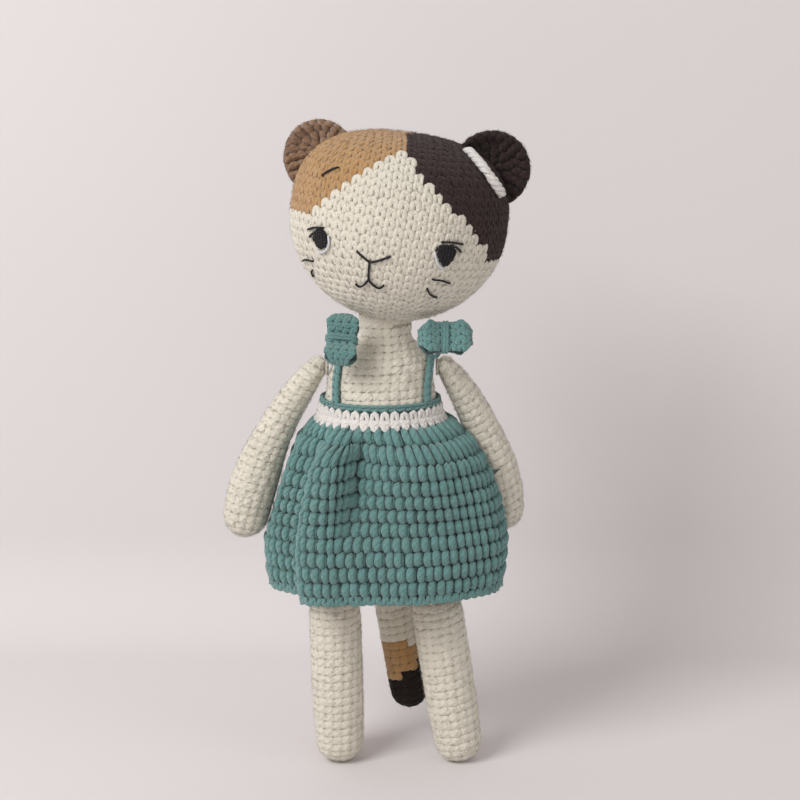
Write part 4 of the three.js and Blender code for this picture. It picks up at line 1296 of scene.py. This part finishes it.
def rows_on(form, lines, wide, lean=0.04, seed=0):
    """The stitches of rounds whose edges are given as places along the form."""
    chance = np.random.default_rng(seed)
    found = []
    for i, (first, last) in enumerate(zip(lines, lines[1:])):
        middle, tall = (first + last) / 2, last - first
        angles, travelled = form.girth(middle)
        around = travelled[GIRTH_STEPS]
        number = round(around / wide)
        share = (np.arange(number) + (0.5 + lean * i * 6) % 1 + chance.normal(0, 0.05, number)) / number
        share = share % 1
        angle = np.interp(share * around, travelled, angles)
        step = np.interp((share + 0.5 / number) * around, travelled, angles)
        found.append(in_rows(
            angle,
            middle + chance.normal(0, 0.02, number) * tall,
            np.maximum(2 * (step - angle), 1e-3) * chance.normal(1, 0.04, number),
            tall * chance.normal(1, UNEVEN, number),
            chance.normal(0, 0.12, number),
        ))
    return np.concatenate(found)


def cloth_layer(form, name, across, along, depth, thick, material):
    """The thin cloth behind the stitches of a draped face, closed round it; it takes a darkened yarn
    colour, painted shade for the gaps between the stitches.
    """
    bm, _, _ = laid_grid(form, across, along, depth)
    bmesh.ops.remove_doubles(bm, verts=bm.verts, dist=WELD)
    bmesh.ops.recalc_face_normals(bm, faces=bm.faces)
    bmesh.ops.solidify(bm, geom=bm.faces, thickness=thick)
    return finished(bm, name, [material])


row_runs = list(np.interp(ROW_LINES, skirt_line[::-1, 1], skirt_run[::-1]))
skirt_places = rows_on(skirt_form, row_runs, POST_WIDE, seed=3)
hem_places = rows_on(skirt_form, [row_runs[-1], skirt_form.length - 0.3], STITCH_HIGH, seed=4)
skirt_stitches = joined(
    worked(skirt_form, tall_stitch, skirt_places, "dress_skirt_crochet", [teal_yarn]),
    worked(skirt_form, single_crochet, hem_places, "dress_hem_crochet", [teal_yarn]),
)
# The cloth behind the skirt's stitches is darkened green, painted shade
skirt_cloth = cloth_layer(skirt_form, "dress_skirt_cloth", 160, 48, CLOTH_DEPTH, 0.9, teal_hollow_shade)
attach(skirt_cloth, "body")
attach(skirt_stitches, "body")
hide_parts("dress_skirt")
skirt_fuzz = frayed(
    skirt_form, "dress_skirt_fibres", "body", SKIRT_FIBRES, [teal_yarn], seed=36
)


# Band: one round of white stitches over the skirt. Each is an arch with the green edge behind
# it, a ridge, and a point worked down into the first green round.
BAND_STITCH = 4.9
BAND_STITCH_HIGH = 9.2
BAND_FOOT = 174
BAND_THICK = 2.9
BAND_FLARE = 3.0
EDGE_HIGH = 2.8

band_heights = np.linspace(BAND_FOOT, DRESS_TOP + 0.6, 30)
band_radii = body_form.radius_at(band_heights) + BAND_THICK
flare_from = DRESS_TOP - BAND_HIGH + 1.5
band_radii += BAND_FLARE * smooth(-band_heights, -flare_from, -(DRESS_TOP - BAND_HIGH - 3.5))
band_form = Turned(np.stack([band_radii, band_heights], 1), bodied)

band_stitch = drawn("band_stitch", [
    ([(-0.27, -0.14, -1.9), (-0.28, 0.1, -1.3), (-0.2, 0.32, -1.1), (0, 0.41, -1.1),
      (0.2, 0.32, -1.1), (0.28, 0.1, -1.3), (0.27, -0.14, -1.9)],
     [1.1, 1.2, 1.3, 1.35, 1.3, 1.2, 1.1]),
    ([(-0.58, -0.08, -1.8), (-0.25, -0.13, -1.0), (0.25, -0.13, -1.0), (0.58, -0.08, -1.8)], 1.7),
    ([(-0.24, -0.16, -1.5), (-0.12, -0.36, -1.0), (0, -0.47, -1.0), (0.12, -0.36, -1.0),
      (0.24, -0.16, -1.5)],
     [1.3, 1.35, 1.3, 1.35, 1.3]),
], BAND_STITCH, BAND_STITCH_HIGH, flat=0.8)


def one_round(along, high, wide, seed):
    """The places of one round of the band; body and band are oval, so it is a little shorter."""
    chance = np.random.default_rng(seed)
    number = round(TURN * band_form.radius(along) * 0.96 / wide)
    angle = (np.arange(number) + 0.5) / number * TURN
    return in_rows(
        angle, along, TURN / number, high * chance.normal(1, UNEVEN, number), chance.normal(0, 0.08, number)
    )


band_middle, band_low, band_top = (
    band_form.run_at(height)
    for height in (DRESS_TOP - EDGE_HIGH - 4.6, DRESS_TOP - BAND_HIGH - 1.5, DRESS_TOP - 0.6)
)
band_places = one_round(band_middle, BAND_STITCH_HIGH, BAND_STITCH, 6)
dress_band = joined(
    worked(band_form, band_stitch, band_places, "dress_band_crochet", [white_yarn]),
    # The ground behind the band's white stitches is darkened green, painted shade
    wrapped(band_form, "band_ground", 72, 8, 1.5, [teal_hollow_shade], start=band_low, end=band_top),
)
stands_for(dress_band, "dress_band", "body")


# Edge: a last round of chain stitches in the dress's green yarn, worked into the top of the
# white band
chain_stitch = drawn("chain_stitch", [
    ([(-0.6, 0.24, -1.7), (-0.2, 0.34, -1.1), (0.25, 0.24, -1.0), (0.48, 0, -1.4),
      (0.25, -0.24, -1.0), (-0.2, -0.34, -1.1), (-0.6, -0.24, -1.7)], 0.85),
], BAND_STITCH, EDGE_HIGH)
edge_places = one_round(band_form.run_at(DRESS_TOP - EDGE_HIGH / 2), EDGE_HIGH, BAND_STITCH * 0.85, 7)
dress_edge = worked(band_form, chain_stitch, edge_places, "dress_edge_crochet", [teal_yarn])
stands_for(dress_edge, "dress_edge", "body")


# Straps: two flat cords of green chain stitches, sewn to the front edge, laid over the shoulders
# and sewn to the back edge. For each, how far out it lies and how high over the shoulder.
STRAPS = {"right": (20.3, 5.5), "left": (22, 3.6)}
STRAP_WIDE = 5
STRAP_THICK = 2.4
STRAP_STEPS = 36
CHAIN_LONG = 3.6


def body_radius(height):
    return float(body_form.radius_at(height))


def strap_frame(side, sign, share):
    """The place and the outward direction of a strap at a share of its way over the shoulder."""
    out, crest = STRAPS[side]
    swing = math.pi * (share - 0.5)
    height = mix(DRESS_TOP - 1, SHOULDER_HEIGHT + crest, max(math.cos(swing), 0) ** 0.8)
    radius = max(body_radius(height), out + 0.01)
    depth = math.sqrt(radius**2 - out**2) * (1 if swing >= 0 else -1)
    slope = (body_radius(height + 1) - body_radius(height - 1)) / 2
    normal = Vector((sign * out, depth, -slope * radius)).normalized()
    place = Vector((sign * out + float(sway(height)) + neck.x, depth * BODY_DEPTH, height))
    return place + normal * (STRAP_THICK / 2 + 0.3), normal


def corded(path, outs, wide, thick, turns=24):
    """The face of a flat cord along a path; its angle 0 looks out."""
    path, outs = np.array(path, float), np.array(outs, float)
    along = np.gradient(path, axis=0)
    along /= np.linalg.norm(along, axis=1, keepdims=True)
    outs = outs - along * (outs * along).sum(1, keepdims=True)
    outs /= np.linalg.norm(outs, axis=1, keepdims=True)
    across = np.cross(along, outs)
    angle = (np.arange(turns) / turns * TURN)[:, None, None]
    grid = path[None] + across[None] * np.sin(angle) * wide / 2 + outs[None] * np.cos(angle) * thick / 2
    return Draped(grid, run_along(path))


for side, sign in SIDES:
    places, outs = zip(*(strap_frame(side, sign, i / STRAP_STEPS) for i in range(STRAP_STEPS + 1)))
    form = corded(places, outs, STRAP_WIDE, STRAP_THICK)
    number = round(form.length / CHAIN_LONG)
    tall = form.length / number
    chains = np.concatenate([
        in_rows(face, (np.arange(number) + 0.5) * tall, 3.0, tall, 0.25) for face in (0, math.pi)
    ])
    name = f"strap_{side}_crochet"
    strap = joined(
        # The ground under the strap's stitches is darkened green, painted shade
        worked(form, single_crochet, chains, name, [teal_yarn]),
        wrapped(form, f"{name}_ground", 12, 2 * number, 0.9, [teal_hollow_shade]),
    )
    stands_for(strap, f"strap_{side}", "body")


# Bows: each a green crocheted strip, folded into two loops, drawn in at the middle by two
# turns of yarn and tied to its strap. The right one stands on end, the left one lies level.
BOW_LONG = 26
BOW_WIDE = 15.5
BOW_LOOP = 10
KNOT_LONG = 4
BOW_PINCH = 0.9
BOW_ROUND = 0.5
BOW_WAIST = 2.5
KNOT_OVER = 0.55
KNOT_YARN = 0.75
KNOT_STEPS = 32
KNOT_SQUARE = 0.7
BOW_SEAT = 0.4
BOW_ROWS = 4
BOW_STITCH = 5
TIE_YARN = 0.8
TIE_APART = 0.6
BOWS = [  # side, its sign, place, lean, roll and turn in degrees
    ("right", -1, (-20.6, -28, 223.8), -30, 0, 86),
    ("left", 1, (28.4, -26.5, 224.6), -20, 8, -1),
]


def bow_form(stand):
    """The outer face of the folded strip, round both loops and across its width."""
    start, end, half = KNOT_LONG / 2 + 0.3, BOW_LONG / 2, BOW_LOOP / 2
    middle, swell, swollen = mix(start, end, 0.68), mix(start, end, 0.3), mix(BOW_WAIST, half, 0.7)
    loop = [
        (0, -BOW_WAIST), (start, -BOW_WAIST), (swell, -swollen), (middle, -half),
        (end, 0), (middle, half), (swell, swollen), (start, BOW_WAIST),
    ]
    line = smooth_line(loop + [(-x, -y) for x, y in loop] + [loop[0]], 385)
    steps = run_along(line)
    even = np.linspace(0, steps[-1], 97)[:-1]
    x, y = np.interp(even, steps, line[:, 0]), np.interp(even, steps, line[:, 1])
    across = np.linspace(-0.5, 0.5, 15)
    wide = BOW_WIDE * mix(BOW_PINCH, 1, smooth(np.abs(x), start, BOW_LONG * 0.3))
    wide *= 1 - BOW_ROUND * smooth(np.abs(x), BOW_LONG * 0.3, BOW_LONG * 0.52)
    grid = np.stack(np.broadcast_arrays(x[:, None], y[:, None], wide[:, None] * across[None]), 2)
    m = np.array(stand)
    grid = grid @ m[:3, :3].T + m[:3, 3]
    return Draped(grid, (across + 0.5) * BOW_WIDE), steps[-1]


for side, sign, place, lean, roll, turn in BOWS:
    stand = (
        Matrix.Translation(Vector(place) + Vector((neck.x, 0, 0)))
        @ turned(roll, "Z") @ turned(lean, "X") @ turned(-turn, "Y")
    )
    form, around = bow_form(stand)
    number, tall = round(around / BOW_STITCH), BOW_WIDE / BOW_ROWS
    chance = np.random.default_rng(len(side))
    angle = (np.arange(number) + 0.5) / number * TURN
    places = np.concatenate([
        in_rows(
            angle + chance.normal(0, 0.02, number), (i + 0.5) * BOW_WIDE / BOW_ROWS, TURN / number, tall,
            chance.normal(0.3, 0.15, number),
        )
        for i in range(BOW_ROWS)
    ])
    stitches = worked(form, single_crochet, places, f"bow_{side}_crochet", [teal_yarn])
    # The strip under the bow's stitches is darkened green, painted shade
    strip = cloth_layer(form, f"bow_{side}_strip", 96, 14, 1.1, 0.7, teal_hollow_shade)
    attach(strip, "body")
    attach(stitches, "body")
    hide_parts(f"bow_{side}")
    bm = bmesh.new()
    wide, thick = BOW_WIDE * BOW_PINCH / 2 + 0.3, BOW_WAIST + KNOT_OVER
    for k in (-0.5, 0.5):
        line = []
        for i in range(KNOT_STEPS + 1):
            angle = TURN * i / KNOT_STEPS
            y, z = (
                size * math.copysign(abs(part) ** KNOT_SQUARE, part)
                for size, part in ((thick, math.cos(angle)), (wide, math.sin(angle)))
            )
            x = k * 1.6 + 0.4 * math.sin(angle + k)
            line.append(stand @ Vector((x, y * (1.1 - 0.12 * abs(k)), z)))
        strand(bm, line, KNOT_YARN, sides=8)
    seat, normal = strap_frame(side, sign, BOW_SEAT)
    back = (stand.to_3x3() @ Vector((0, 1, 0))).normalized()
    start = stand.translation + back * thick
    tie = smooth_line([start, start + back * 3, seat + normal * 4, seat + normal], 15)
    strand(bm, tie + np.array((TIE_APART, 0, 0)), TIE_YARN)
    strand(bm, tie - np.array((TIE_APART, 0, 0)), TIE_YARN)
    knot = finished(bm, f"bow_knot_{side}_yarn", [teal_yarn])
    stands_for(knot, f"bow_knot_{side}", "body")


cad_box = [list(corner) for corner in cad_box]
